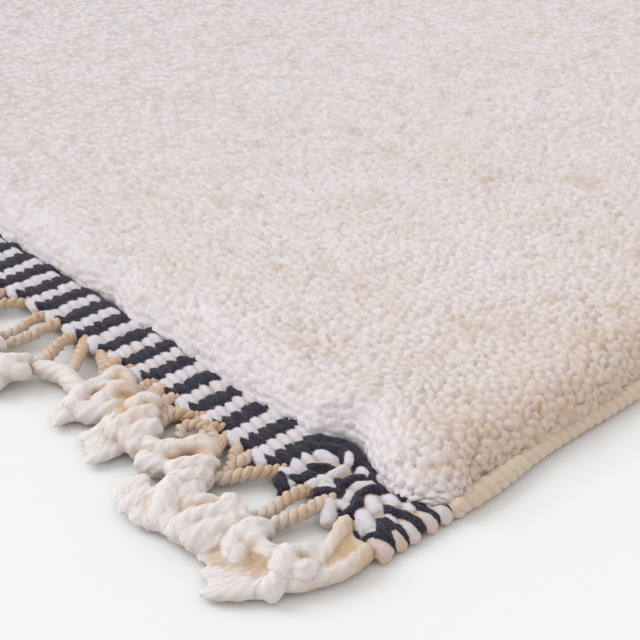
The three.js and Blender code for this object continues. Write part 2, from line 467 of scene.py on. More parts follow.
class RugCordSettings(bpy.types.PropertyGroup):
    """Sizes and colours of the overcast edge cords."""

    wrap: FloatProperty(
        name="Wrap", description="Distance from one turn of the wrapping yarn to the next",
        default=0.0058, **LENGTH)
    swell: FloatProperty(
        name="Swell", description="How far a turn stands above the groove beside it",
        default=0.0004, **LENGTH)
    colour: FloatVectorProperty(
        name="Overcast Wool", description="Undyed wrapping yarn", default=(0.655, 0.54, 0.435), **COLOUR)


class RugFringeSettings(bpy.types.PropertyGroup):
    """Sizes and colours of the fringes."""

    twist: FloatProperty(
        name="Twist", description="Length of one full turn of a cord's plies", default=0.0088, **LENGTH)
    colour: FloatVectorProperty(
        name="Warp Wool", description="Unbleached warp yarn", default=(0.715, 0.672, 0.665), **COLOUR)
    # Painted shade in the folds and undersides of the knots, and the tan of the twisted cords near the
    # band, partly their own colour and partly painted shade
    shade: FloatVectorProperty(
        name="Cord Shade", description="The tan of the twisted cords near the band",
        default=(0.56, 0.39, 0.25), **COLOUR)


class RugStudioSettings(bpy.types.PropertyGroup):
    """Camera and light."""

    lens: FloatProperty(
        name="Lens", description="Focal length of the camera in millimetres",
        default=76.4, min=10, max=300, unit="CAMERA")
    height: FloatProperty(
        name="Camera Height", description="Height of the camera above the floor",
        default=0.37, min=0.05, max=5, unit="LENGTH")
    heading: FloatProperty(
        name="Heading", description="Turn of the view to the left of the warp's direction",
        default=np.radians(46.7), subtype="ANGLE")
    pitch: FloatProperty(
        name="Pitch", description="Angle of the view below the horizon",
        default=np.radians(31.1), subtype="ANGLE")
    dome: FloatVectorProperty(
        name="Room Light", description="Colour of the light from all round",
        default=(1.0, 0.965, 0.93), **COLOUR)
    window: FloatVectorProperty(
        name="Window Light", description="Colour of the light from the left",
        default=(0.90, 0.95, 1.0), **COLOUR)
    floor: FloatVectorProperty(
        name="Floor", description="Colour of the floor", default=(0.80, 0.815, 0.83), **COLOUR)


def mm(metres):
    """A setting in millimetres."""
    return metres / MM


# Materials

# What every wool's shader has, and the scales of the noises in it
WOOL_SURFACE = {
    "Roughness": 0.95, "Specular IOR Level": 0.1, "Sheen Weight": 0.1, "Sheen Roughness": 0.6,
    "Subsurface Radius": (1, 0.75, 0.6), "Subsurface Scale": 0.0022,
}
FLOOR_SURFACE = {"Roughness": 1, "Specular IOR Level": 0}
STREAK_SCALE = 800
HAIR_SCALE = 1300
CLUMP_SCALE = 420
FLECK_SCALE = 65
BUMP = {"Strength": 0.7, "Distance": 0.0009}


def set_sockets(node, values):
    """Sets sockets of a node, by their names."""
    for name, value in values.items():
        node.inputs[name].default_value = value


def new_material(name):
    """A material with one shader. Gives both."""
    material = bpy.data.materials.new(name)
    material.use_nodes = True
    return material, material.node_tree.nodes["Principled BSDF"]


def wool_material(name, cream, shade, black=None, streak=1.0, fuzz=1.0, tuft=None, soft=0.4,
                  base=0.0, patch=(20, 0.3), flecks=0.0):
    """Wool that goes from cream to its warm shade: by base all over, by painted shade in crevices and
    on sides turned from the light, from tuft to tuft, in patches of a scale and strength, and by
    flecks in small spots. Streaks along the fibres and a fuzz of short hairs change the colour and
    are bump as well. Where the yarn is dyed it is black. Light sinks into it as soft says. Where the
    pile's grid is too coarse, the shader draws the tufts, with painted shade in their hollows and a
    painted shadow towards their borders.
    """
    material, shader = new_material(name)
    nodes, links = material.node_tree.nodes, material.node_tree.links
    set_sockets(shader, {**WOOL_SURFACE, "Subsurface Weight": soft})

    def read(attribute, output="Fac"):
        """A value that the mesh carries at each point."""
        node = nodes.new("ShaderNodeAttribute")
        node.attribute_name = attribute
        return node.outputs[output]

    def noise(vector, scale, detail=2, stretch=(1, 1, 1)):
        """Noise from 0 to 1 at a place that is stretched along its axes first."""
        mapping = nodes.new("ShaderNodeMapping")
        set_sockets(mapping, {"Scale": stretch})
        links.new(vector, mapping.inputs["Vector"])
        node = nodes.new("ShaderNodeTexNoise")
        set_sockets(node, {"Scale": scale, "Detail": detail})
        links.new(mapping.outputs["Vector"], node.inputs["Vector"])
        return node.outputs["Fac"]

    def sums(kind, first, second, clamp=False):
        """One sum of two values, each of them a socket or a number, kept from 0 to 1 with clamp."""
        node = nodes.new("ShaderNodeMath")
        node.operation = kind
        node.use_clamp = clamp
        for socket, value in zip(node.inputs, (first, second)):
            if isinstance(value, (int, float)):
                socket.default_value = value
            else:
                links.new(value, socket)
        return node.outputs[0]

    def add(*values, clamp=False):
        """Two values added up."""
        return sums("ADD", *values, clamp)

    def times(*values):
        """Two values multiplied."""
        return sums("MULTIPLY", *values)

    def part(value, amount):
        """A noise from 0 to 1 moved to either side of 0 and scaled."""
        return times(sums("SUBTRACT", value, 0.5), amount)

    def mix(amount, *colours):
        """The first colour where the amount is 0, the second where it is 1."""
        node = nodes.new("ShaderNodeMix")
        node.data_type = "RGBA"
        for name, value in zip(("Factor", "A", "B"), (amount, *colours)):
            socket = node.inputs[name]
            if hasattr(value, "is_output"):
                links.new(value, socket)
            else:
                socket.default_value = (*value, 1)
        return node.outputs["Result"]

    place = nodes.new("ShaderNodeTexCoord").outputs["Object"]
    fibre = read("fibre", "Vector")
    dye = read("dye")
    streaks = noise(fibre, STREAK_SCALE, stretch=(0.14, 1, 1))
    hairs = noise(place, HAIR_SCALE, 3)
    clumps = noise(place, CLUMP_SCALE)
    patches = noise(place, patch[0])

    # How far the colour goes to the warm shade: the painted shade, each tuft's or yarn's tone, base,
    # streaks, hairs, clumps, patches and flecks
    tint_and_painted_shade = add(times(read("deep"), 0.8), times(read("tone"), 0.1))
    tint_and_painted_shade = add(tint_and_painted_shade, base)
    for value, amount in ((streaks, 0.45 * streak), (hairs, 0.3 * fuzz), (clumps, 0.3 * fuzz),
                          (patches, patch[1])):
        tint_and_painted_shade = add(tint_and_painted_shade, part(value, amount))
    if flecks:
        spots = sums("SUBTRACT", noise(place, FLECK_SCALE), 0.58, True)
        tint_and_painted_shade = add(tint_and_painted_shade, times(spots, flecks))
    height = add(times(streaks, streak), times(hairs, 0.9 * fuzz))
    height = add(height, times(clumps, 1.2 * fuzz))
    # The pile isn't dyed. Its dye says how much of the tufts the shader draws, as cells of hollows
    # that get painted shade.
    if tuft is not None:
        cells = nodes.new("ShaderNodeTexVoronoi")
        set_sockets(cells, {"Scale": 1 / tuft})
        links.new(fibre, cells.inputs["Vector"])
        hollow = times(part(cells.outputs["Distance"], 1.0), dye)
        tint_and_painted_shade = add(tint_and_painted_shade, times(hollow, 1.2))
        height = sums("SUBTRACT", height, times(hollow, 1.8))
    colour = mix(add(tint_and_painted_shade, 0.0, clamp=True), cream, shade)
    # Painted shadow: where the shader draws the tufts, the colour darkens towards their borders
    if tuft is not None:
        colour = mix(times(cells.outputs["Distance"], dye), colour, tuple(0.66 * c for c in cream))
    if black is not None:
        edge = add(dye, part(clumps, 0.7))
        edge = add(part(add(edge, part(hairs, 0.9)), 3.0), 0.5, clamp=True)
        lift = add(part(streaks, 1.6), part(hairs, 3.2))
        dyed = mix(add(lift, 0.25, clamp=True), black, tuple(6 * c for c in black))
        colour = mix(edge, colour, dyed)
    links.new(colour, shader.inputs["Base Color"])

    bump = nodes.new("ShaderNodeBump")
    set_sockets(bump, BUMP)
    links.new(height, bump.inputs["Height"])
    links.new(bump.outputs["Normal"], shader.inputs["Normal"])
    return material


# Pile

# The rim curls down by this angle, along an ellipse with these half widths out and down
PILE_CURL = 80
SHOULDER_OUT = 27
SHOULDER_DOWN = 21
# How far the pile's rim stands out over the edge cords and the bands
PILE_OVER_CORD = 5.2
PILE_OVER_BAND = 4.6
# The grid's cells at its far ends, and the cell from which the shader draws the tufts
COARSE_ACROSS = 4.8
COARSE_ALONG = 5.6
DRAWN_CELL = 2.9
# How far inside the rim its sides and ends start to count as rim, and its sides start to get painted
# warm shade
RIM_FROM_SIDE = 18
RIM_FROM_END = 8
SHADE_FROM_SIDE = 90
# The pile's closed parts, and how many rows each dips under the next one
PILE_PARTS = ("near", "middle", "far")
OVERLAP = 2


def graded_steps(length, fine, coarse):
    """Places from 0 to length whose steps grow evenly with distance from fine to coarse."""
    count = int(round(length * np.log(coarse / fine) / (coarse - fine)))
    return length * ((coarse / fine) ** (np.arange(count + 1) / count) - 1) / (coarse / fine - 1)


def tuft_pattern(s, t, size):
    """Tufts as cells of a jittered brick lattice. Gives each point's distances to the nearest three
    tufts, and the nearest tuft's own two random numbers and place."""
    row = np.floor(t / size)
    best = [np.full(s.shape, 1e9) for _ in range(3)]
    owner = [np.zeros(s.shape) for _ in range(4)]
    for below in (-1, 0, 1):
        j = row + below
        shift = 0.5 * size * (j % 2)
        column = np.floor((s - shift) / size)
        for beside in (-1, 0, 1):
            i = column + beside
            x = (i + 0.5 + 0.62 * (scatter(i, j, seed=1) - 0.5)) * size + shift
            y = (j + 0.5 + 0.62 * (scatter(i, j, seed=2) - 0.5)) * size
            d = np.hypot(s - x, t - y)
            nearest = d < best[0]
            best[2] = np.where(nearest, best[1], np.where(d < best[1], best[1], np.minimum(best[2], d)))
            best[1] = np.where(nearest, best[0], np.minimum(best[1], np.maximum(d, best[0])))
            best[0] = np.where(nearest, d, best[0])
            found = (scatter(i, j, seed=3), scatter(i, j, seed=4), x, y)
            owner = [np.where(nearest, new, old) for new, old in zip(found, owner)]
    return best, owner


def shoulder(place, inner, arc, top):
    """The pile's ground shape: flat on top, and past the inner edge it curls down along a quarter of
    an ellipse. In a corner the square of both overshoots is pressed into a quarter disc, so that it
    curls down in every direction at once. Gives points and outward normals."""
    over = np.clip((np.abs(place) - inner) / arc, 0, 1)
    out = over * np.sqrt(1 - over[::-1] ** 2 / 2)
    reach = np.hypot(*out)
    way = np.where(reach > 0, out / np.maximum(reach, 1e-9), 0) * np.sign(place)
    curl = np.radians(PILE_CURL) * np.minimum(reach, 1)
    flat = np.sign(place) * np.minimum(np.abs(place), inner) + way * SHOULDER_OUT * np.sin(curl)
    height = top - SHOULDER_DOWN * (1 - np.cos(curl))
    lying = way * (np.sin(curl) * SHOULDER_DOWN)
    normals = unit(np.stack([*lying, np.cos(curl) * SHOULDER_OUT], -1))
    return np.stack([*flat, height], -1), normals


# How far the near edge of the pile stands out over the band, by place across the rug, and how far
# the right edge stands out over the cord, by place along the rug
OUT_BY_BAND = (
    (-345, 0), (-263, -1.5), (-242, -4.5), (-219, 2), (-188, -1), (-172, 2), (-153, 1.5), (-134, 4),
    (-115, 2.5), (-97, 1.5), (-82, 1), (-75, -4), (-67, -9.5), (-58, -9), (-50, -4), (-41, 0),
    (-33, 3), (-25, 1), (-15, 1), (-5, 1),
)
OUT_BY_CORD = ((25, 0), (50, -1), (80, 0), (110, 3.5), (150, 3), (185, -0.5), (240, 1.5), (300, -1))
# How far from the corner the lists fade out, by the cord and by the band, and over what distance
CLOSE_BY_CORD = 380
CLOSE_BY_BAND = 425
CLOSE_FADE = 80
# How far the edge starts to wander inside the rim
WANDER_FROM = 45


def edge_shift(x, y, towards_x, towards_y):
    """How far the pile's edge wanders from its even line, across and along the rug: soft noise, or
    the two lists where the rug is seen closest. towards_x and towards_y go from 0 well inside the
    rug to 1 or -1 at its sides and ends."""
    wander = 1.8 * soft_noise(x, y, 0, 60, 10)
    close = (towards_x > 0) * np.clip((CLOSE_BY_CORD - y - HALF_WOVEN) / CLOSE_FADE, 0, 1)
    by_cord = wander * (1 - close) + close * np.interp(y + HALF_WOVEN, *np.transpose(OUT_BY_CORD))
    close = (towards_y < 0) * np.clip((x - HALF_WIDTH + CLOSE_BY_BAND) / CLOSE_FADE, 0, 1)
    by_band = wander * (1 - close) + close * np.interp(x - HALF_WIDTH, *np.transpose(OUT_BY_BAND))
    return np.stack([towards_x * by_cord, towards_y * by_band], -1)


def squaring(out_x, out_y):
    """How far the pile stands out further at a corner, from the direction that it faces there."""
    return 5.5 * np.clip(4 * np.abs(out_x * out_y), 0, 1)


def pile_surface(top, size, crown, fine):
    """The pile's points, their places on the flat grid, the lift of their tufts, their painted
    shade, and how far the shader draws the tufts, from 0 to 1 as the grid gets coarse.

    The ground shape is moved out along its normals by the relief of the tufts, which is high in a
    tuft and drops as an exponential of the distance to its border and as the square of the distance
    from its middle. Each tuft has its own lift and lean, soft noise makes the pattern drift, and
    soft noise of three sizes makes slow waves. The painted shade in the crevices is exponentials of
    the distances to the borders of two and of three tufts. The rim's sides and the pile's sides get
    more painted shade, and its ends less, which paints them lighter.
    """
    arc = 0.5 * np.pi * np.hypot(SHOULDER_OUT, SHOULDER_DOWN) / np.sqrt(2) * PILE_CURL / 90
    inner = np.array([FOOT_X + PILE_OVER_CORD, FOOT_Y + PILE_OVER_BAND]) - SHOULDER_OUT
    end_s, end_t = inner + arc
    line_s = (end_s - graded_steps(2 * end_s, fine, COARSE_ACROSS))[::-1]
    line_t = graded_steps(2 * end_t, fine, COARSE_ALONG) - end_t
    t, s = np.meshgrid(line_t, line_s, indexing="ij")
    cell = np.maximum(np.gradient(line_t)[:, None], np.gradient(line_s)[None])
    drawn = 1 - 1 / (1 + (cell / DRAWN_CELL) ** 4)

    place = np.stack([s, t])
    inner = inner[:, None, None]
    over = np.abs(place) - inner
    rim_x, rim_y, side = (np.clip((over[axis] + start) / (arc + start), 0, 1)
                          for axis, start in ((0, RIM_FROM_SIDE), (1, RIM_FROM_END),
                                              (0, SHADE_FROM_SIDE)))
    points, normals = shoulder(place, inner, arc, top)
    drift = 1.3 * soft_noise(s, t, 0, 9, 5), 1.3 * soft_noise(s, t, 0, 9, 6)
    (first, second, third), (lift, lean, x, y) = tuft_pattern(s + drift[0], t + drift[1], size)
    way = 2 * np.pi * lean
    rise = crown * (1 - np.exp(-(second - first) / np.maximum(1.2, 0.55 * cell))) - 0.05 * first**2
    rise = rise + 1.0 * (lift - 0.5) + 0.14 * ((s - x) * np.cos(way) + (t - y) * np.sin(way))
    rise = rise * (1 - drawn) * (1 + 0.15 * rim_x + 0.15 * rim_y)
    for height, length, seed in ((0.8, 48, 7), (0.6, 16, 8), (1.2, 170, 9)):
        rise = rise + height * soft_noise(s, t, 0, length, seed)
    points = points + normals * (rise - 1.2)[..., None]
    points[..., :2] += normals[..., :2] * squaring(normals[..., 0], normals[..., 1])[..., None]
    towards = np.clip((over + WANDER_FROM) / WANDER_FROM, 0, 1) * np.sign(place)
    points[..., :2] += edge_shift(points[..., 0], points[..., 1], *towards)

    # Painted shade: in the crevices between the tufts, on the rim's sides and over the pile's sides; at
    # the ends it drops below 0, which paints the rim there lighter
    deep = 0.36 * np.exp(-(second - first) / 0.9) + 0.7 * np.exp(-(third - first) / 0.9)
    deep = deep * (1 - drawn) * (1 - 0.3 * rim_y) + 0.52 * rim_x**1.3 * (1 - rim_y) - 0.36 * rim_y
    deep = deep + 0.3 * side * (1 - rim_y)
    return points, np.stack([s, t, 0 * s], -1), lift, deep, drawn


def add_closed_field(piece, points, fibre=None, tone=0.0, deep=0.0, dye=0.0, foot_height=2.2):
    """Adds a grid of points as a block: its rim goes straight down to a flat underside."""
    rows, columns = points.shape[:2]
    index = np.arange(rows * columns).reshape(rows, columns)
    rim = np.concatenate([index[0, :-1], index[:-1, -1], index[-1, :0:-1], index[:0:-1, 0]])
    piece.add(points, [grid_faces(rows, columns)[:, ::-1]], fibre, tone, dye, deep)
    foot = points.reshape(-1, 3)[rim] * (1, 1, 0) + (0, 0, foot_height)
    below = np.arange(len(rim))
    after = np.roll(below, -1)
    above = rim - index.size
    walls = np.stack([above, below, after, above[after]], -1)
    # The walls get full painted shade
    piece.add(foot, [below[None, ::-1], walls], deep=1.0, smooth=False)


class RUG_OT_pile(bpy.types.Operator):
    """Makes the tufted pile in three closed parts, finest at the corner that is seen closest. Each
    dips under the next one, so that no seam shows."""

    bl_idname = "rug.pile"
    bl_label = "Pile"

    def execute(self, context):
        settings = context.scene.rug_pile
        sizes = (settings.top, settings.tuft, settings.crown, settings.fine)
        points, fibre, lift, deep, drawn = pile_surface(*(mm(size) for size in sizes))
        material = wool_material("pile_wool", settings.colour, settings.shade, streak=0.0, fuzz=0.8,
                                 tuft=settings.tuft, soft=0, base=0.1, patch=(25, 0.4), flecks=2.2)
        cuts = np.linspace(0, len(points) - 1, len(PILE_PARTS) + 1).astype(int)
        for name, low, high in zip(PILE_PARTS, cuts[:-1], cuts[1:]):
            rows = np.arange(max(low - OVERLAP, 0), min(high + OVERLAP + 1, len(points)))
            beyond = np.maximum(np.maximum(low - rows, rows - high), 0)
            part = points[rows] - np.array([0, 0, 0.5]) * beyond[:, None, None]
            piece = Piece()
            add_closed_field(piece, part, fibre[rows], 2 * lift[rows] - 1, deep[rows], drawn[rows])
            piece.build("pile_" + name, material, "pile_wool", "pile_field")
        return {"FINISHED"}


# Striped end bands

# Beads side by side in a stripe, and a bead's length, half width, height and slant in degrees
PICKS = 6
BEAD_LENGTH = 13.0
BEAD_HALF_WIDTH = 3.25
BEAD_HEIGHT = 5.3
BEAD_SLANT = -14
# The first black stripe's distance from the corner, and how many more follow
FIRST_BLACK = 77
LAST_BLACK = 46
# The bed under the beads: the heights of its top and foot, and how far it stays from the rug's
# sides and from the band's outer edge and reaches under the pile
BAND_BED = 5.6
BED_FOOT = 0.3
BED_FROM_SIDE = 6
BED_FROM_EDGE = 1.5
BED_UNDER_PILE = 1
# Parts of a band that are felted on their own: from and to across the rug, and voxel
BAND_PARTS = ((290, 501, 0.9), (130, 290, 1.2), (-290, 130, 1.75), (-501, -290, 1.65))
# The band's felting: its softness and fold, and the strengths of its painted shade in crevices (depth)
# and on surfaces turned from above (flank)
BAND_FELT = {"softness": 5, "fold": 3, "depth": 1.9, "flank": 0.5}

# The corner's beads and petals: half width, points. Their heights are those of their tops.
CORNER_BLACK = (
    (2.4, (-14.5, -6.5, 7.4), (-12, -4, 8), (-10.5, -1, 8.2)),
    (2.4, (-18, 5.5, 8), (-13, 5, 8.4), (-9, 3.5, 8)),
    (1.9, (-11.5, 7, 8.4), (-7, 6.4, 8.2), (-4.5, 6.1, 6.4), (-3.2, 6, 4.5)),
    (2.0, (-16.5, 23.5, 8), (-11, 22.2, 8.4), (-8, 23, 7.5)),
    (1.8, (-24.5, 23.5, 8), (-22, 22.5, 8.5), (-20, 22.5, 7.5)),
    (2.9, (-23, 11.5, 7.5), (-17.5, 12, 8.5), (-13, 13.6, 8.6), (-8, 14.6, 8.4), (-4.5, 14.6, 6.5),
     (-3.2, 15, 4.2)),
    (1.6, (-7.5, 24.6, 8.2), (-4.2, 24.2, 7.6), (-2.8, 24, 5.5)),
    (1.2, (-6, 32.4, 8), (-4, 32.2, 7.5), (-2.5, 32, 5.5)),
    (1.4, (-53, 27.5, 8.4), (-46, 26.5, 8.4), (-40, 23, 8.4), (-35, 20.5, 8)),
    (2.3, (-20, -8, 7.2), (-17.5, -9.5, 7), (-16, -11.5, 6)),
    (2.6, (-32.5, -3, 7), (-30.5, 0, 7.5), (-31.5, 5.5, 8), (-34.5, 10, 8), (-34.5, 15, 8.2),
     (-33, 19, 8.2), (-29, 20, 7.5)),
    (2.7, (-50, 9, 7.5), (-46, 11, 8.2), (-44.5, 15.5, 8.2), (-43, 21, 7.5)),
    (2.2, (-46.5, 9.5, 7.5), (-43, 6.5, 7.2), (-42, 4, 6.5)),
    (1.6, (-43, 25.5, 8), (-40, 23.5, 7.5), (-37, 22, 7)),
    (2.4, (-65, -2.5, 7.2), (-62, -0.5, 8), (-59, 1.5, 7.2)),
    (2.6, (-62.5, 4, 7.4), (-59.5, 5, 8), (-57, 5.5, 7.4)),
    (2.7, (-64.5, 7.5, 7.5), (-62, 10.5, 8), (-60, 12.5, 8), (-57, 15, 7.4)),
    (2.9, (-80, 15, 7.4), (-76, 18.5, 8), (-72, 20.5, 8.3), (-68, 24, 8.4), (-64, 26.8, 8.3),
     (-60, 25.5, 8), (-57.5, 21.5, 7.2)),
    (2.8, (-81, 23, 7.5), (-76.5, 25.5, 8), (-71.5, 28.5, 8.4), (-66.5, 31, 8.6), (-60.5, 31.5, 8.6),
     (-55.5, 29.5, 8.6), (-52, 26, 8.2), (-50.5, 21.5, 7.4)),
    (2.4, (-51, -2, 7), (-47.5, 1.5, 8), (-44, 5, 7.4)),
)
CORNER_CREAM = (
    (2.4, (-41, 12, 7.5), (-39, 16, 8.5), (-36.5, 21, 7.5)),
    (2.5, (-54.5, 3, 7), (-50.5, 4.5, 8.2), (-46, 7, 7)),
    (1.9, (-41, 10.5, 7), (-38.5, 7.5, 7.5), (-37.5, 5.5, 6.8)),
    (3.8, (-44, -0.5, 7.5), (-39, -4.5, 7.5), (-35, -8, 7), (-32, -12, 6)),
    (2.0, (-39.5, 0.5, 7), (-36.5, 1, 7.5), (-33.5, 2.5, 6.5)),
    (3.4, (-31.5, 13, 7.5), (-26, 10, 8.5), (-21, 8, 7.8)),
    (3.5, (-27.5, 4, 7.5), (-20.5, 0, 8.5), (-15.5, -2.5, 7.5)),
    (2.6, (-25, -1, 7), (-20, -5, 7.2), (-16.5, -6, 6.5)),
    (3.0, (-27.5, 19, 7.5), (-21.5, 17, 8.5), (-18.5, 16.5, 7.5)),
    (2.4, (-18, 20.5, 7.8), (-14, 19, 8.4), (-11.5, 19, 7.6)),
    (1.9, (-18, 9, 8), (-14.5, 8.6, 8.5), (-11.5, 8.4, 7.8)),
    (2.2, (-49, 23.3, 8), (-43, 23.3, 8)),
    (2.7, (-73, -2.5, 6.8), (-69.5, -1, 7.8), (-65.5, 1, 7)),
    (3.0, (-73.5, 6.5, 7.2), (-68.5, 5, 8.2), (-64, 5, 7)),
    (2.9, (-73.5, 12, 7.2), (-69, 11.5, 8.2), (-64.5, 11, 7)),
    (3.0, (-70, 17, 7.2), (-66.5, 18.5, 8.2), (-62, 19, 8), (-59, 19, 7)),
    (2.0, (-68.5, -2, 6.5), (-64, -3.5, 7), (-61, -4, 6)),
    (2.7, (-55.5, -1, 7), (-55, 1.5, 8), (-54.5, 4.5, 7.6)),
    (2.8, (-56.5, 6, 7.4), (-53.5, 6.5, 8.2), (-48, 7.5, 7.4)),
    (2.8, (-53.5, 9.5, 7.4), (-53, 13, 8.2), (-53, 17.5, 8.2), (-53, 20.5, 7.4)),
    (2.4, (-60, 27.2, 8.4), (-56.5, 25, 9.2), (-52.5, 22, 8.6)),
    (2.0, (-17.5, 26.5, 8.5), (-17.5, 23, 8.2)),
    (2.4, (-31, 27, 8), (-29, 24, 8)),
    (2.4, (-38, 28, 8), (-37, 25, 8)),
)
CORNER_WEDGES = (
    (3.8, (-16.5, 4.2, 8), (-10.5, 0.8, 8.4), (-5.5, -0.8, 7.2), (-1.8, -1.5, 3.6)),
    (4.2, (-70, -4, 7.5), (-66.5, -7, 7), (-63, -8.5, 6), (-61.5, -12, 5), (-60.5, -14.5, 3.6)),
)
CORNER_PETALS = (
    (3.5, (-16, -9, 6), (-12, -13, 6), (-8.5, -18, 5)),
    (3.9, (-13.8, -11.5, 7), (-9.5, -13, 6.6), (-5.5, -16, 5)),
    (4.7, (-11, -7, 7.6), (-6, -6.4, 7), (-3.4, -6, 5), (-2.8, -5.8, 3)),
    (3.3, (-10.5, 3.6, 8), (-6.5, 3, 7.6), (-3.4, 2.6, 5), (-2.8, 2.5, 3)),
    (3.6, (-11, 10.3, 8.2), (-6.5, 10.1, 8), (-3, 10.3, 5), (-2.4, 10.3, 3)),
    (3.7, (-10, 19.5, 8.2), (-6, 20, 7.8), (-2.8, 20.7, 5), (-2.2, 20.9, 3)),
    (3.9, (-8, 29.4, 8), (-4.5, 29.2, 7.6), (-2.3, 29.5, 5), (-1.7, 29.7, 3)),
    (3.6, (-6.5, 36, 8), (-3.5, 36, 7.5), (-1.4, 36.5, 5), (-0.8, 36.5, 3)),
)


def bead_share(t):
    """The share of a bead's width: rounded ends, a little wider towards +X."""
    return rounded(t, 0.45, 0.4) * (0.9 + 0.2 * t)


def stripe_strands(stripe, pick, low, high):
    """The beads of the regular stripes whose middles lie between two places across the rug. Each is
    a short yarn on an arch whose two ends dip under the rows beside it, and its place, length,
    heading, bend, height and width each wander by a random number. The black beads at a stripe's
    two ends, inner and outer, lie a little across it."""
    strands = []
    at = np.array([-1, -0.55, 0, 0.55, 1])[:, None]
    for dye, first, last in ((1, 0, LAST_BLACK), (0, 0.5, LAST_BLACK - 0.5)):
        for column, row in itertools.product(np.arange(first, last + 0.1), range(PICKS)):
            random = [scatter(column * 2, row, seed=40 + i) - 0.5 for i in range(7)]
            outer = dye * (row == 0)
            inner = dye * (row == PICKS - 1)
            x = HALF_WIDTH - FIRST_BLACK - stripe * column + 1.4 * random[0] - 3.4 * outer + 3 * inner
            if not low <= x < high:
                continue
            y = -0.6 + pick * (row - 0.5 * (1 - dye)) + 0.9 * random[1] - HALF_WOVEN
            y = y + (1.2 if row == 0 and not dye else 0)
            length = BEAD_LENGTH + 1.6 * random[2] + 2.0 * inner
            heading = np.radians(BEAD_SLANT) + 0.18 * random[3] + 0.4 * outer + 0.06 * inner
            way = np.array([np.cos(heading), np.sin(heading)])
            side = np.array([-way[1], way[0]])
            flat = (x, y) + way * at * length / 2 + side * 1.3 * random[4] * (1 - at**2)
            height = BEAD_HEIGHT + 0.5 * random[5] - 1.5 * np.abs(at) ** 2.2
            points = np.concatenate([flat, height], 1)
            width = BEAD_HALF_WIDTH - 0.5 * outer + 0.3 * random[6]
            tone = 4 * scatter(column, row, seed=49) - 2
            strands.append(lay_strand(points, width, 0.86 * width, bead_share, tone=tone, dye=dye))
    return strands


def corner_strands(side):
    """The beads, wedges and petals of the right woven corner or, with side -1, of the left."""
    strands = []
    for dye, sink, shape, table in ((1, 2.4, rounded, CORNER_BLACK), (0, 2.5, rounded, CORNER_CREAM),
                                    (1, 2.4, wedge, CORNER_WEDGES), (0, 2.6, leaf, CORNER_PETALS)):
        for number, (width, *points) in enumerate(table):
            points = (np.array(points) + (HALF_WIDTH, -HALF_WOVEN, -sink)) * (side, 1, 1)
            tone = 5 * scatter(number, side, seed=60 + dye) - 2 + 6.5 * (shape is leaf)
            height = min(0.9 * width, 2.7)
            strands.append(lay_strand(points, width, height, shape, 1.1, tone=tone, dye=dye))
    return strands


def band_bed(low, high):
    """The closed bed under the beads of one part of the band. It starts a little inside the band's
    outer edge and ends under the pile."""
    edge = HALF_WIDTH - BED_FROM_SIDE
    x = np.linspace(max(low, -edge), min(high, edge), 9)
    y = np.linspace(BED_FROM_EDGE - HALF_WOVEN, BED_UNDER_PILE - FOOT_Y, 4)
    y, x = np.meshgrid(y, x, indexing="ij")
    bed = Piece()
    add_closed_field(bed, np.stack([x, y, BAND_BED + 0 * x], -1), foot_height=BED_FOOT)
    return bed


class RUG_OT_bands(bpy.types.Operator):
    """Makes the striped band at each end of the rug."""

    bl_idname = "rug.bands"
    bl_label = "Striped Bands"

    def execute(self, context):
        settings = context.scene.rug_band
        material = wool_material("striped_weave", settings.cream, settings.shade, settings.black)
        near = Piece()
        for low, high, voxel in BAND_PARTS:
            strands = stripe_strands(mm(settings.stripe), mm(settings.pick), low, high)
            if abs(low + high) > HALF_WIDTH:
                strands += corner_strands(np.sign(low + high))
            add_felt(near, strands, voxel, bed=band_bed(low, high), **BAND_FELT)
        near.build_both(("band_beads_near", "band_beads_far"), material, "striped_weave",
                        ("end_band_front", "end_band_back"))
        return {"FINISHED"}


# Overcast edge cords

CORD_SIDES = 12
STEPS_A_WRAP = 4
# How far from the rug's corners the cords end, under the petals of the corner blocks
CORNER_REACH = 33
# How much the bar's half width is more than half the width of the solids' cord
CORD_WIDER = 0.4
# The wave that shows beside the near corner: how far it reaches, how far it swings, the distance
# from the corner to its first crossing, and its length
WAVE_REACH = 250
WAVE_SWING = 2.2
WAVE_FROM = 20
WAVE_LENGTH = 118
# How far from its end the bar starts to thin
END_THINS = 9


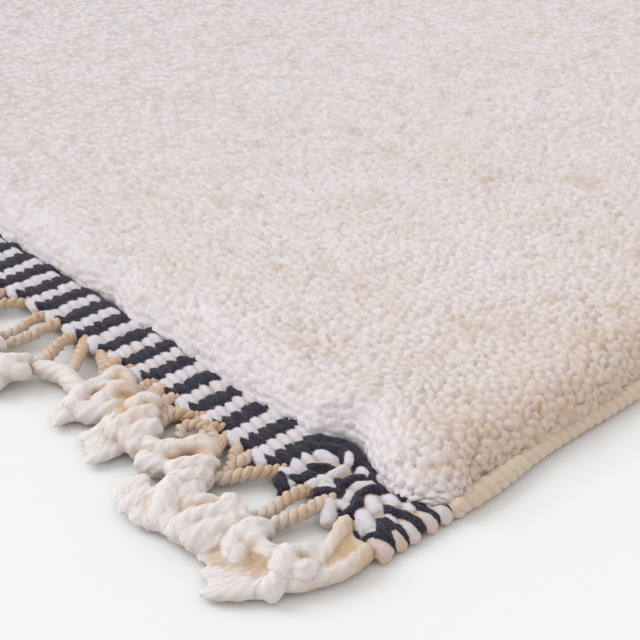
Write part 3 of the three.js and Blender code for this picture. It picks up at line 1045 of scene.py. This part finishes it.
def add_edge_cord(piece, wrap, swell):
    """Adds the right edge cord: an oval bar along the side, pressed in between slanting turns.

    The turn number at a point is its distance along the side, in turns, plus a slant that grows
    round the bar. The swell is a rounded ridge for each whole turn. The bar waves as a sine near
    the corner that is seen closest, and as soft noise elsewhere.
    """
    end = HALF_WOVEN - CORNER_REACH
    count = int(2 * end / wrap) * STEPS_A_WRAP
    y = np.linspace(-end, end, count)[:, None]
    ease = 0.4 + 0.6 * np.sqrt(1 - np.clip(1 - (end - np.abs(y)) / END_THINS, 0, 1) ** 2)
    angle = (2 * np.pi * np.arange(CORD_SIDES) / CORD_SIDES)[None]
    half_width = (CORD_HIGH[0] - CORD_LOW[0]) / 2 + CORD_WIDER
    half_height = CORD_HEIGHT / 2
    uneven = 0.25 * soft_noise(y, 0, 0, 30, 81)
    turn = (y / wrap + uneven) + 0.4 * np.sin(angle)
    ridge = np.abs(np.sin(np.pi * turn)) ** 0.8
    own = scatter(np.floor(turn), seed=82)
    rise = swell * (2 * ridge - 1.2) + 0.3 * (own - 0.5) + 0.4 * soft_noise(y, 2, 0, 17, 84)
    run = y + HALF_WOVEN
    close = np.exp(-run / WAVE_REACH)
    wave = WAVE_SWING * np.sin(2 * np.pi * (run - WAVE_FROM) / WAVE_LENGTH) * close
    wave = wave + 1.8 * soft_noise(y, 0, 0, 42, 83) * (1 - close)
    x = HALF_WIDTH - half_width + CORD_WIDER + wave + (half_width + rise) * np.cos(angle) * ease
    z = half_height + (half_height + rise) * np.sin(angle) * ease
    z = np.maximum(z, LOWEST_CORD)
    points = np.stack([x, np.broadcast_to(y, x.shape), z], -1)
    around = np.unwrap(np.arctan2(z - half_height, x - x.mean(1, keepdims=True)), axis=1) * 5
    fibre = np.stack([around, y + 1.4 * np.sin(angle), np.floor(turn) * 3.0], -1)
    first = np.arange(CORD_SIDES)[None]
    last = (count - 1) * CORD_SIDES + first
    faces = [grid_faces(count, CORD_SIDES, True)[:, ::-1], first[:, ::-1], last]
    # Painted shade in the grooves between the turns
    piece.add(points, faces, fibre, 2 * own - 1, 0.0, 0.5 * (1 - ridge) ** 1.5)


class RUG_OT_edge_cords(bpy.types.Operator):
    """Makes the overcast cord down each side."""

    bl_idname = "rug.edge_cords"
    bl_label = "Edge Cords"

    def execute(self, context):
        settings = context.scene.rug_cord
        band = context.scene.rug_band
        material = wool_material("overcast_wool", settings.colour, band.shade, streak=0.8)
        cord = Piece()
        add_edge_cord(cord, mm(settings.wrap), mm(settings.swell))
        cord.build_both(("edge_wraps_right", "edge_wraps_left"), material, "overcast_wool",
                        ("edge_cord_right", "edge_cord_left"))
        return {"FINISHED"}


# Fringes

GROUP_WIDTH = 200
GROUPS = 5
# For the group that is seen closest and for the others: the distance between the rings of a cord,
# its sides, the voxel of the knots, and how often they are smoothed
DETAIL = ((1.2, 9, 1.15, 12), (2.1, 6, 2.3, 4))
LEFT_VOXEL = 2.1
# The knots' felting: fold, the strengths of their painted shade in folds (depth) and on surfaces turned
# from above (flank), and ply
KNOT_FELT = {"fold": 6, "depth": 2.4, "flank": 0.7, "ply": 0.32}
# How fast the fibres of a ply turn, in turns per millimetre
PLY_TWIST = -0.09
# How far out of the band a point still counts as a cord's start, and how high a start may lie, so
# that it stays inside the band
START_REACH = 5
START_HEIGHT = 3.8
# Where the fringe ends on the left, and how much thicker the knots' yarns are than their table says
LEFT_END = 8 - HALF_WIDTH
KNOT_WIDER = 0.8
KNOT_HIGHER = 0.6

# Twisted cords: half width, points
CORDS = (
    (3.2, (-55, 4, 6), (-56, -2, 7), (-55, -9, 6), (-55, -18, 5.5), (-55, -25, 5), (-57, -32, 5)),
    (3.4, (-43, 4, 6), (-44, -1, 7), (-43, -8, 6), (-44, -17, 5.5), (-46, -24, 5), (-48, -31, 5)),
    (3.2, (-73, 4, 6), (-75, -3, 7), (-78, -11, 6), (-82, -18, 5.5), (-86, -24, 5), (-91, -28, 6)),
    (3.0, (-99, 3, 6), (-98, -4, 7), (-94, -10, 6), (-88, -17, 5.5), (-87, -24, 5)),
    (3.0, (-91, 3, 6), (-91, -4, 7), (-88, -10, 6.5), (-88, -16, 6)),
    (3.0, (-130, 3, 6), (-126, -4, 7), (-119, -6, 6), (-111, -8, 6), (-102, -12, 6)),
    (2.9, (-114, 3, 5.5), (-117, -5, 7), (-123, -9, 7), (-126, -14, 6), (-120, -20, 5)),
    (3.1, (-133, 3, 6), (-132, -3, 7), (-136, -8, 6), (-138, -14, 5.5), (-135, -22, 6)),
    (3.1, (-150, 3, 6), (-147, -8, 7), (-141, -14, 6), (-140, -20, 6)),
    (3.0, (-166, 3, 6), (-164, -4, 7), (-157, -8, 6), (-151, -14, 6)),
    (3.0, (-168, 3, 6), (-164, -9, 7), (-166, -13, 6), (-166, -18, 6)),
    (3.1, (-194, 3, 6), (-191, -6, 7), (-185, -13, 6), (-179, -18, 6)),
    (3.1, (-208, 3, 6), (-205, -3, 7), (-196, -8, 6), (-184, -15, 6)),
    (3.1, (-224, 3, 6), (-222, -1, 7), (-214, -8, 6), (-206, -17, 6), (-198, -27, 6)),
    (3.2, (-203, 1.5, 5.5), (-199, -3, 6.5), (-193, -8, 6), (-187, -14, 5.5), (-182, -19, 5.5)),
    (3.0, (-188, 1.5, 5), (-182, -1, 6.5), (-177, -8, 6.5), (-174, -14, 6)),
    (3.0, (-174, 1.5, 5), (-168, -3, 6.5), (-163, -9, 6.5), (-160, -16, 6)),
    (3.2, (-160, 1.5, 5.5), (-156, -5, 6.5), (-152, -11, 6), (-149, -17, 6)),
    (3.0, (-141, 1.5, 5), (-140, -4, 6), (-141, -11, 6), (-142, -18, 6)),
    (3.0, (-124, 1.5, 5), (-118, -6, 6), (-113, -13, 6), (-109, -20, 6)),
    (3.0, (-110, 1.5, 5), (-105, -9, 6), (-101, -16, 6), (-99, -22, 6)),
)
# The cord that takes the place of the knots' first yarn in every group but the corner's
INNER_CORD = (3.4, (-30, 1.5, 5), (-28, -4, 6), (-25.5, -10, 6.5), (-22, -16, 7),
              (-19.5, -22, 6.5), (-17.5, -28, 6.5), (-16, -35, 6))
# Smooth yarns that run round the outside of a woven corner: half width, half height, points
OUTER_YARNS = (
    (4.2, 4.0, (-10, -9, 6), (-7, -16, 6), (-6.5, -23, 5.6), (-7.5, -30, 5.2), (-10, -36, 5),
     (-12.5, -43, 5), (-14, -50, 5)),
    (3.4, 3.4, (-15, -10, 5.5), (-12, -17, 5.5), (-11, -24, 5), (-12, -31, 5), (-14, -38, 5),
     (-16, -45, 5)),
    (2.2, 2.4, (-19.5, -9, 6), (-17, -15, 6.6), (-15.5, -21, 6.8), (-14.5, -28, 6.8),
     (-14.5, -36, 6)),
)
# Smooth yarns of the knots: half width, half height, points. The flat ones are loose ends.
YARNS = (
    (3.6, 3.8, (-28.5, -3.5, 5.5), (-25, -9, 6.5), (-21.5, -15, 7), (-19, -21.5, 6.5),
     (-17, -28, 6.5), (-15.5, -33, 6.5), (-15, -42.5, 6)),
    (5.6, 5.6, (-27.5, -36, 7), (-24.5, -42, 8.5), (-21.5, -46, 8), (-19, -46.5, 6)),
    (3.6, 3.6, (-23.5, -35.5, 7), (-22.5, -33.5, 9), (-20, -32, 7)),
    (4.0, 4.0, (-17.5, -43, 8), (-14, -41.5, 8.5), (-14.5, -36, 6.5)),
    (4.6, 4.6, (-21.5, -45.5, 6), (-19.5, -51, 6), (-18, -56, 5.4), (-17, -60, 5)),
    (4.6, 4.6, (-38.5, -55, 5), (-42.5, -54, 7), (-46, -50, 8.5), (-47, -44, 9.5),
     (-46.5, -38.5, 9.5), (-44, -36, 8), (-39.5, -38, 7)),
    (4.8, 4.8, (-43, -47, 9), (-40.5, -44, 10), (-38, -43.5, 9)),
    (4.2, 4.2, (-37, -44.5, 8), (-32.5, -45, 9), (-30, -45, 7.5), (-30, -46, 5)),
    (4.4, 4.4, (-43, -51, 8), (-39.5, -54, 7.5), (-37, -54, 5.5)),
    (5.0, 3.0, (-27, -48, 5), (-32.5, -52.5, 4.6), (-40.5, -56, 4.2), (-48.5, -59, 3.8),
     (-55.5, -63, 3.2)),
    (5.2, 3.0, (-24.5, -50.5, 5), (-30, -56, 4.4), (-36, -61, 4), (-42.5, -65, 3.4),
     (-47.5, -68, 3)),
    (4.6, 3.0, (-23, -53.5, 4.6), (-25, -60.5, 4.2), (-28.5, -66, 3.8), (-33, -71.5, 3.4),
     (-38.5, -76, 3)),
    (4.6, 2.8, (-24.5, -55, 4.2), (-29.5, -61.5, 4), (-35, -66, 3.6), (-40.5, -69.5, 3)),
    (5.5, 5.5, (-59.5, -32, 6), (-61.5, -37, 7.5), (-63, -42.5, 8.5), (-66, -48.5, 8.5),
     (-68.5, -55, 8), (-68.5, -61.5, 7), (-67.5, -65.5, 5)),
    (5.5, 5.5, (-57.5, -33, 5.5), (-56.5, -39.5, 7), (-56, -48, 8), (-58.5, -54.5, 8),
     (-61, -60, 6.5), (-62.5, -63.5, 4.5)),
    (5.0, 5.0, (-54.5, -43.5, 5), (-53.5, -50, 6), (-54.5, -56, 6), (-57.5, -60, 5)),
    (4.4, 4.4, (-63.5, -40.5, 8), (-66, -36, 9), (-68, -32, 8.5)),
    (4.6, 4.6, (-71, -38.5, 6.5), (-75, -43, 7.5), (-76.5, -49, 7.5), (-76.5, -54, 6.5)),
    (5.5, 5.5, (-89, -41, 8), (-91, -47, 9), (-87.5, -53, 9), (-83.5, -57.5, 8), (-81, -61.5, 6),
     (-78.5, -64, 4.5)),
    (5.5, 5.5, (-87, -35, 6), (-84, -42.5, 7), (-82.5, -49.5, 7), (-80, -55, 6.5),
     (-75.5, -60.5, 6), (-73.5, -64, 4.6)),
    (6.0, 3.6, (-102, -49.5, 7), (-105.5, -54.5, 6), (-106.5, -60.5, 5), (-104.5, -67, 4)),
    (6.0, 3.8, (-95.5, -53, 7), (-97.5, -58, 6), (-98.5, -64, 5), (-98.5, -70, 4)),
    (6.0, 3.6, (-89, -57, 6), (-89.5, -61.5, 5), (-90, -66, 4.5), (-92, -70, 4)),
    (5.0, 3.2, (-85, -58.5, 5), (-84, -62.5, 4.5), (-83.5, -64.5, 4), (-85.5, -67, 3.6)),
    (5.2, 5.2, (-105, -26, 7), (-107.5, -22, 9), (-105.5, -19, 9.5), (-100.5, -19, 8.5),
     (-96.5, -20, 7)),
    (5.6, 5.6, (-106, -29, 8), (-112, -30, 8.5), (-114.5, -32.5, 8), (-114.5, -36, 6.5)),
    (3.2, 3.2, (-93, -25.5, 8.5), (-92, -23.5, 9.5), (-90.5, -24, 7.5)),
    (5.8, 5.8, (-92, -23.5, 6.5), (-94.5, -28, 8), (-96.5, -32.5, 8.5), (-99, -37.5, 8.5),
     (-100.5, -42.5, 7.5)),
    (5.4, 5.4, (-88.5, -27, 6), (-89.5, -33, 7.5), (-90.5, -38.5, 8.5), (-92, -43, 8.5),
     (-97, -45.5, 7)),
    (5.0, 5.0, (-86, -37, 5.5), (-85.5, -41.5, 6.5), (-86, -46.5, 7), (-85, -51.5, 6)),
    (5.0, 5.0, (-114, -33, 7), (-119.5, -34.5, 7), (-126, -35, 7)),
    (5.0, 5.0, (-105, -38.5, 7), (-111.5, -40, 6.5), (-116, -42, 6), (-121, -43.5, 5)),
    (5.6, 5.6, (-142.5, -15, 7), (-147, -15.5, 9), (-149.5, -18, 9.5), (-149, -23.5, 9),
     (-147, -27.5, 8)),
    (6.5, 6.5, (-137, -18.5, 6.5), (-139.5, -22.5, 8.5), (-141, -27.5, 9), (-141, -33.5, 8.5),
     (-141, -39.5, 7.5), (-142, -44.5, 6)),
    (6.0, 6.0, (-130.5, -23, 6), (-131.5, -28, 8), (-132.5, -33, 8), (-134, -38, 7),
     (-135, -42, 5.5)),
    (5.0, 5.0, (-127, -29.5, 5.5), (-128, -34, 6.5), (-128.5, -38.5, 6.5), (-130.5, -42, 5)),
    (5.2, 5.2, (-149, -25, 7.5), (-149, -31, 7), (-149, -37, 6), (-150, -42, 5)),
    (5.4, 3.0, (-147.5, -39.5, 5.5), (-149.5, -44, 4.6), (-152.5, -48, 4), (-157, -51, 3.4)),
    (6.0, 3.2, (-141.5, -41, 5.5), (-143, -46, 4.6), (-144.5, -50.5, 4), (-148, -53, 3.4)),
    (5.0, 2.8, (-136, -41.5, 5), (-137, -47, 4.4), (-137, -52.5, 4), (-138.5, -60.5, 3)),
    (5.4, 5.4, (-158, -16.5, 6), (-163.5, -17, 8.5), (-167, -20.5, 9), (-165, -25.5, 8.5),
     (-160.5, -27.5, 7)),
    (3.8, 3.8, (-169.5, -30, 9), (-164.5, -31, 9.5), (-163, -30.5, 7.5)),
    (5.0, 5.0, (-158, -22, 7), (-157.5, -29.5, 7), (-161, -34, 6.5), (-165.5, -38, 6),
     (-170, -40.5, 5)),
    (5.0, 5.0, (-177.5, -28.5, 8.5), (-177, -34, 8.5), (-174, -39, 7.5), (-170.5, -42, 6)),
    (4.8, 4.8, (-172.5, -21, 7.5), (-176, -24.5, 8.5), (-181, -27, 8)),
    (4.5, 4.5, (-177, -28, 5.5), (-188, -30, 6), (-199, -28, 6), (-208, -31, 6), (-218, -36, 6)),
    (4.6, 3.0, (-176, -24, 6), (-179, -32, 5), (-181, -39, 4), (-180, -44, 3.5), (-177, -52, 3)),
    (4.6, 3.0, (-168, -34, 5), (-171, -40, 4.4), (-173, -47, 4), (-171, -55, 3)),
    (4.4, 4.4, (-172, -24, 7.5), (-177, -18, 8.5), (-180, -12, 8.5), (-176, -10, 8),
     (-169, -13, 7.5), (-161, -17, 7)),
)


def group_places(points, group, side=1):
    """A group's points for the near fringe. Every group but the corner's is pulled about by up to
    5 mm in its own soft waves, and its points stay at their height or rise by up to 0.8 mm."""
    points = np.array(points, float)
    if group:
        points = points - (GROUP_WIDTH * group, 0, 0)
        x, y = points[:, 0], points[:, 1]
        points[:, 0] += 5 * soft_noise(x, y, group, 34, 101)
        points[:, 1] += np.where(y < -6, 5, 0) * soft_noise(x, y, group, 34, 102)
        points[:, 2] += 0.8 * (0.5 + 0.5 * soft_noise(x, y, group, 20, 103))
    points = points + (HALF_WIDTH, -HALF_WOVEN, 0)
    return points * (side, 1, 1)


def add_cord(piece, points, width, pitch, step, sides, seed):
    """Adds one twisted cord of two plies, tan where it leaves the band and paler towards its knot,
    partly its own tan and partly painted shade. Each ply is a helix about the cord's path, half a
    turn from the other."""
    starts = points[:, 1] > -HALF_WOVEN - START_REACH
    points[:, 2] = np.where(starts, np.minimum(points[:, 2], START_HEIGHT), points[:, 2])
    length = np.linalg.norm(np.diff(points, axis=0), axis=1).sum()
    rings = int(length / step) + 2
    path = smooth_path(points, rings)
    along = np.linspace(0, 1, rings)[None]
    radius = width * rounded(along, 0.12, 0.5)
    _, side, up = frames(path)
    start = scatter(np.arange(1), seed=seed) * 2 * np.pi
    for ply in (0, 1):
        turn = (2 * np.pi * distance_along(path) / pitch + start + np.pi * ply)[..., None]
        offset = (side * np.cos(turn) + up * np.sin(turn)) * radius[..., None] * 0.5
        add_yarns(piece, path + offset, radius * 0.6, radius * 0.56, sides, twist=PLY_TWIST,
                  deep=1.15 - 0.6 * along, seed=seed + 11 * ply)


def knot_strand(points, width, height, tone):
    """One smooth yarn, tan where it leaves the band and whiter the further it runs from it. A flat
    one is a loose end, which thins towards its tip."""
    strand = lay_strand(points, width, height, tapered if width > 1.2 * height else rounded)
    run = strand[0][0, :, 1] + HALF_WOVEN
    return *strand[:3], tone + np.clip(8 + run / 5, -1, 6), 0


def outer_strands(side):
    """The smooth yarns round the outside of the right woven corner or, with side -1, of the left."""
    return [knot_strand(group_places(points, 0, side), width, height, 1.5)
            for width, height, *points in OUTER_YARNS]


def add_fringe(cords, knots, pitch):
    """Adds the near fringe: the group at the right corner, then the same again to the left end."""
    seed = 200
    for group in range(GROUPS):
        step, sides, voxel, softness = DETAIL[min(group, 1)]
        strands = []
        for width, *points in CORDS:
            seed += 1
            points = group_places(points, group)
            if points[:, 0].min() > LEFT_END:
                add_cord(cords, points, width, pitch, step, sides, seed)
        if group:
            width, *points = INNER_CORD
            add_cord(cords, group_places(points, group), width, pitch, step, sides, seed)
        for width, height, *points in YARNS[min(group, 1):]:
            seed += 1
            points = group_places(points, group)
            if points[:, 0].min() > LEFT_END:
                tone = 3 * scatter(seed, seed=3) - 1.5
                width, height = width + KNOT_WIDER, height + KNOT_HIGHER
                strands.append(knot_strand(points, width, height, tone))
        if not group:
            strands += outer_strands(1)
        add_felt(knots, strands, voxel, softness, **KNOT_FELT)
    add_felt(knots, outer_strands(-1), LEFT_VOXEL, softness, **KNOT_FELT)


class RUG_OT_fringes(bpy.types.Operator):
    """Makes the twisted cords, knots and loose ends at each end of the rug."""

    bl_idname = "rug.fringes"
    bl_label = "Fringes"

    def execute(self, context):
        settings = context.scene.rug_fringe
        material = wool_material("warp_yarn", settings.colour, settings.shade, fuzz=0.8, streak=0.7,
                                 base=0.06, patch=(60, 0.9))
        cords, knots = Piece(), Piece()
        add_fringe(cords, knots, mm(settings.twist))
        for piece, name in ((cords, "fringe_cords_"), (knots, "fringe_knots_")):
            piece.build_both((name + "near", name + "far"), material, "warp_yarn",
                             ("fringe_front", "fringe_back"))
        return {"FINISHED"}


# Rim locks and ground weave

# Heights of the two rows of locks, the radius of their line at the rug's corners, the distance from
# one lock to the next, and the share of them that is kept
RIM_ROWS = (13.5, 10.8)
RIM_CORNER = 16
LOCK_STEP = 3.4
LOCK_SHARE = 0.45


def rim_places():
    """Evenly spaced points and outward directions round the pile's foot, a rectangle with rounded
    corners: straight runs and quarter circles laid end to end, then sampled by distance."""
    turn = np.linspace(0, np.pi / 2, 9)
    path = []
    for quarter, signs in enumerate(((1, 1), (-1, 1), (-1, -1), (1, -1))):
        angle = turn + quarter * np.pi / 2
        centre = (np.array([FOOT_X, FOOT_Y]) - RIM_CORNER) * signs
        path.append(centre + RIM_CORNER * np.stack([np.cos(angle), np.sin(angle)], -1))
    path = np.concatenate(path + [path[0][:1]])
    run = distance_along(path[None])[0]
    at = np.arange(int(run[-1] / LOCK_STEP)) * LOCK_STEP
    point = np.stack([np.interp(at, run, path[:, i]) for i in (0, 1)], -1)
    ahead = np.stack([np.interp((at + 1) % run[-1], run, path[:, i]) for i in (0, 1)], -1)
    way = unit(ahead - point)
    return point, np.stack([way[:, 1], -way[:, 0]], -1)


def add_locks(piece, row, height):
    """Adds one row of locks along the pile's sides, and none at its ends. Each is a short yarn that
    leaves the pile along a sine, leans to one side, drops faster as it goes and thins towards its
    tip."""
    point, out = rim_places()
    kept = scatter(np.arange(len(point)), row, seed=109) < LOCK_SHARE
    on_side = np.abs(out[:, 1]) < 0.3
    point, out = point[kept & on_side], out[kept & on_side]
    random = [scatter(np.arange(len(point)), row, seed=110 + i) - 0.5 for i in range(7)]
    side = np.stack([-out[:, 1], out[:, 0]], -1)
    stand = squaring(out[:, 0], out[:, 1]) - 1.4 + 1.0 * row
    point = point + side * (3.0 * random[0])[:, None] + out * stand[:, None]
    point = point + edge_shift(*point.T, *out.T)
    reach, lean, drop = (size + spread * random[i][:, None] for i, size, spread in
                         ((1, 3.0, 3.0), (2, 0.0, 4.0), (3, 2.6, 3.0)))
    at = np.linspace(0, 1, 4)
    x = point[:, None] + out[:, None] * (reach * np.sin(1.4 * at))[..., None]
    x = x + side[:, None] * (lean * at**1.5)[..., None]
    z = height + 2.4 * random[4][:, None] - drop * at**1.6
    paths = np.concatenate([x, np.maximum(z, CORD_HEIGHT)[..., None]], -1)
    width = (2.0 + 1.0 * random[5])[:, None] * np.array([1.0, 1.05, 0.8, 0.25])
    # Painted shade, strongest at each lock's root
    deep = 0.55 + np.array([[0.3, 0.15, 0.05, 0.0]])
    add_yarns(piece, paths, width, width, 5, tone=2 * random[6], deep=deep, seed=120 + row)


class RUG_OT_rim_locks(bpy.types.Operator):
    """Makes the sparse thin locks that hang out along the pile's sides, over the edge cords."""

    bl_idname = "rug.rim_locks"
    bl_label = "Rim Locks"

    def execute(self, context):
        piece = Piece()
        for row, height in enumerate(RIM_ROWS):
            add_locks(piece, row, height)
        material = bpy.data.objects["pile_near"].data.materials[0]
        piece.build("rim_locks", material, "pile_wool", "pile_field")
        return {"FINISHED"}


# How far the ground weave ends inside the pile's foot, and the heights of its top and underside
WEAVE_INSET = 1
WEAVE_TOP = 1.9
WEAVE_FOOT = 0.3


class RUG_OT_ground_weave(bpy.types.Operator):
    """Makes the woven ground that the tufts are knotted into, a thin closed sheet under the pile."""

    bl_idname = "rug.ground_weave"
    bl_label = "Ground Weave"

    def execute(self, context):
        settings = context.scene.rug_fringe
        half_x, half_y = FOOT_X - WEAVE_INSET, FOOT_Y - WEAVE_INSET
        y, x = np.meshgrid(np.linspace(-half_y, half_y, 61), np.linspace(-half_x, half_x, 41),
                           indexing="ij")
        piece = Piece()
        add_closed_field(piece, np.stack([x, y, WEAVE_TOP + 0 * x], -1), deep=0.2,
                         foot_height=WEAVE_FOOT)
        material = wool_material("ground_weave", settings.colour, settings.shade, streak=0.5)
        sheet = piece.build("ground_weave", material, "warp_yarn")
        return {"FINISHED"}


# Studio

SENSOR_WIDTH = 36
CAMERA_PLACE = (0.7866, -1.0660)
FLOOR_REACH = 40
FLOOR_DROP = 0.0004
ROOM_STRENGTH = 0.88
# The window's strength, its angle across as seen from the rug, and the way its light goes
WINDOW_STRENGTH = 1.55
WINDOW_ACROSS = 38
WINDOW_WAY = (0.74, 0.36, -0.62)


def aim(thing, direction):
    """Turns a camera or a light so that it looks along a direction, upright."""
    thing.rotation_mode = "QUATERNION"
    thing.rotation_quaternion = Vector(direction).to_track_quat("-Z", "Y")


class RUG_OT_studio(bpy.types.Operator):
    """Sets up the camera, the floor and the soft daylight of the room."""

    bl_idname = "rug.studio"
    bl_label = "Studio"

    def execute(self, context):
        settings = context.scene.rug_studio
        scene = context.scene
        scene.view_settings.view_transform = "Standard"
        camera = add_object("camera", bpy.data.cameras.new("camera"))
        camera.data.lens = settings.lens
        camera.data.sensor_width = SENSOR_WIDTH
        camera.data.clip_start, camera.data.clip_end = 0.01, 100
        camera.location = (*CAMERA_PLACE, settings.height)
        flat = np.cos(settings.pitch)
        aim(camera, (-np.sin(settings.heading) * flat, np.cos(settings.heading) * flat,
                     -np.sin(settings.pitch)))
        scene.camera = camera

        mesh = bpy.data.meshes.new("floor")
        corners = [(x * FLOOR_REACH, y * FLOOR_REACH, -FLOOR_DROP)
                   for x, y in ((-1, -1), (1, -1), (1, 1), (-1, 1))]
        mesh.from_pydata(corners, [], [(0, 1, 2, 3)])
        material, shader = new_material("floor")
        set_sockets(shader, {**FLOOR_SURFACE, "Base Color": (*settings.floor, 1)})
        mesh.materials.append(material)
        add_object("floor", mesh)

        world = bpy.data.worlds.new("room")
        world.use_nodes = True
        sky = world.node_tree.nodes["Background"]
        set_sockets(sky, {"Color": (*settings.dome, 1), "Strength": ROOM_STRENGTH})
        scene.world = world

        sun = bpy.data.lights.new("window_light", "SUN")
        sun.energy = WINDOW_STRENGTH
        sun.color = settings.window
        sun.angle = np.radians(WINDOW_ACROSS)
        aim(add_object("window_light", sun), WINDOW_WAY)
        return {"FINISHED"}


# The add-on

SETTINGS = {
    "rug_pile": RugPileSettings,
    "rug_band": RugBandSettings,
    "rug_cord": RugCordSettings,
    "rug_fringe": RugFringeSettings,
    "rug_studio": RugStudioSettings,
}
STEPS = (
    RUG_OT_studio, RUG_OT_pile, RUG_OT_rim_locks, RUG_OT_bands, RUG_OT_edge_cords, RUG_OT_fringes,
    RUG_OT_ground_weave,
)


class RUG_PT_sidebar(bpy.types.Panel):
    """Lists the rug's pieces in the sidebar of the 3D view."""

    bl_idname = "RUG_PT_sidebar"
    bl_label = "Cream Pile Rug"
    bl_space_type = "VIEW_3D"
    bl_region_type = "UI"
    bl_category = "Rug"

    def draw(self, context):
        for step in STEPS:
            self.layout.operator(step.bl_idname)
        for name, group in SETTINGS.items():
            column = self.layout.column()
            for key in group.__annotations__:
                column.prop(getattr(context.scene, name), key)


def register():
    """Registers the settings, the operators and the panel."""
    for name, group in SETTINGS.items():
        bpy.utils.register_class(group)
        setattr(bpy.types.Scene, name, bpy.props.PointerProperty(type=group))
    for step in STEPS + (RUG_PT_sidebar,):
        bpy.utils.register_class(step)


def unregister():
    """Takes the panel, the operators and the settings out again."""
    for step in (RUG_PT_sidebar,) + STEPS[::-1]:
        bpy.utils.unregister_class(step)
    for name, group in SETTINGS.items():
        delattr(bpy.types.Scene, name)
        bpy.utils.unregister_class(group)


def main():
    """Makes every piece in turn."""
    register()
    for step in STEPS:
        group, name = step.bl_idname.split(".")
        getattr(getattr(bpy.ops, group), name)()


if __name__ == "__main__":
    main()
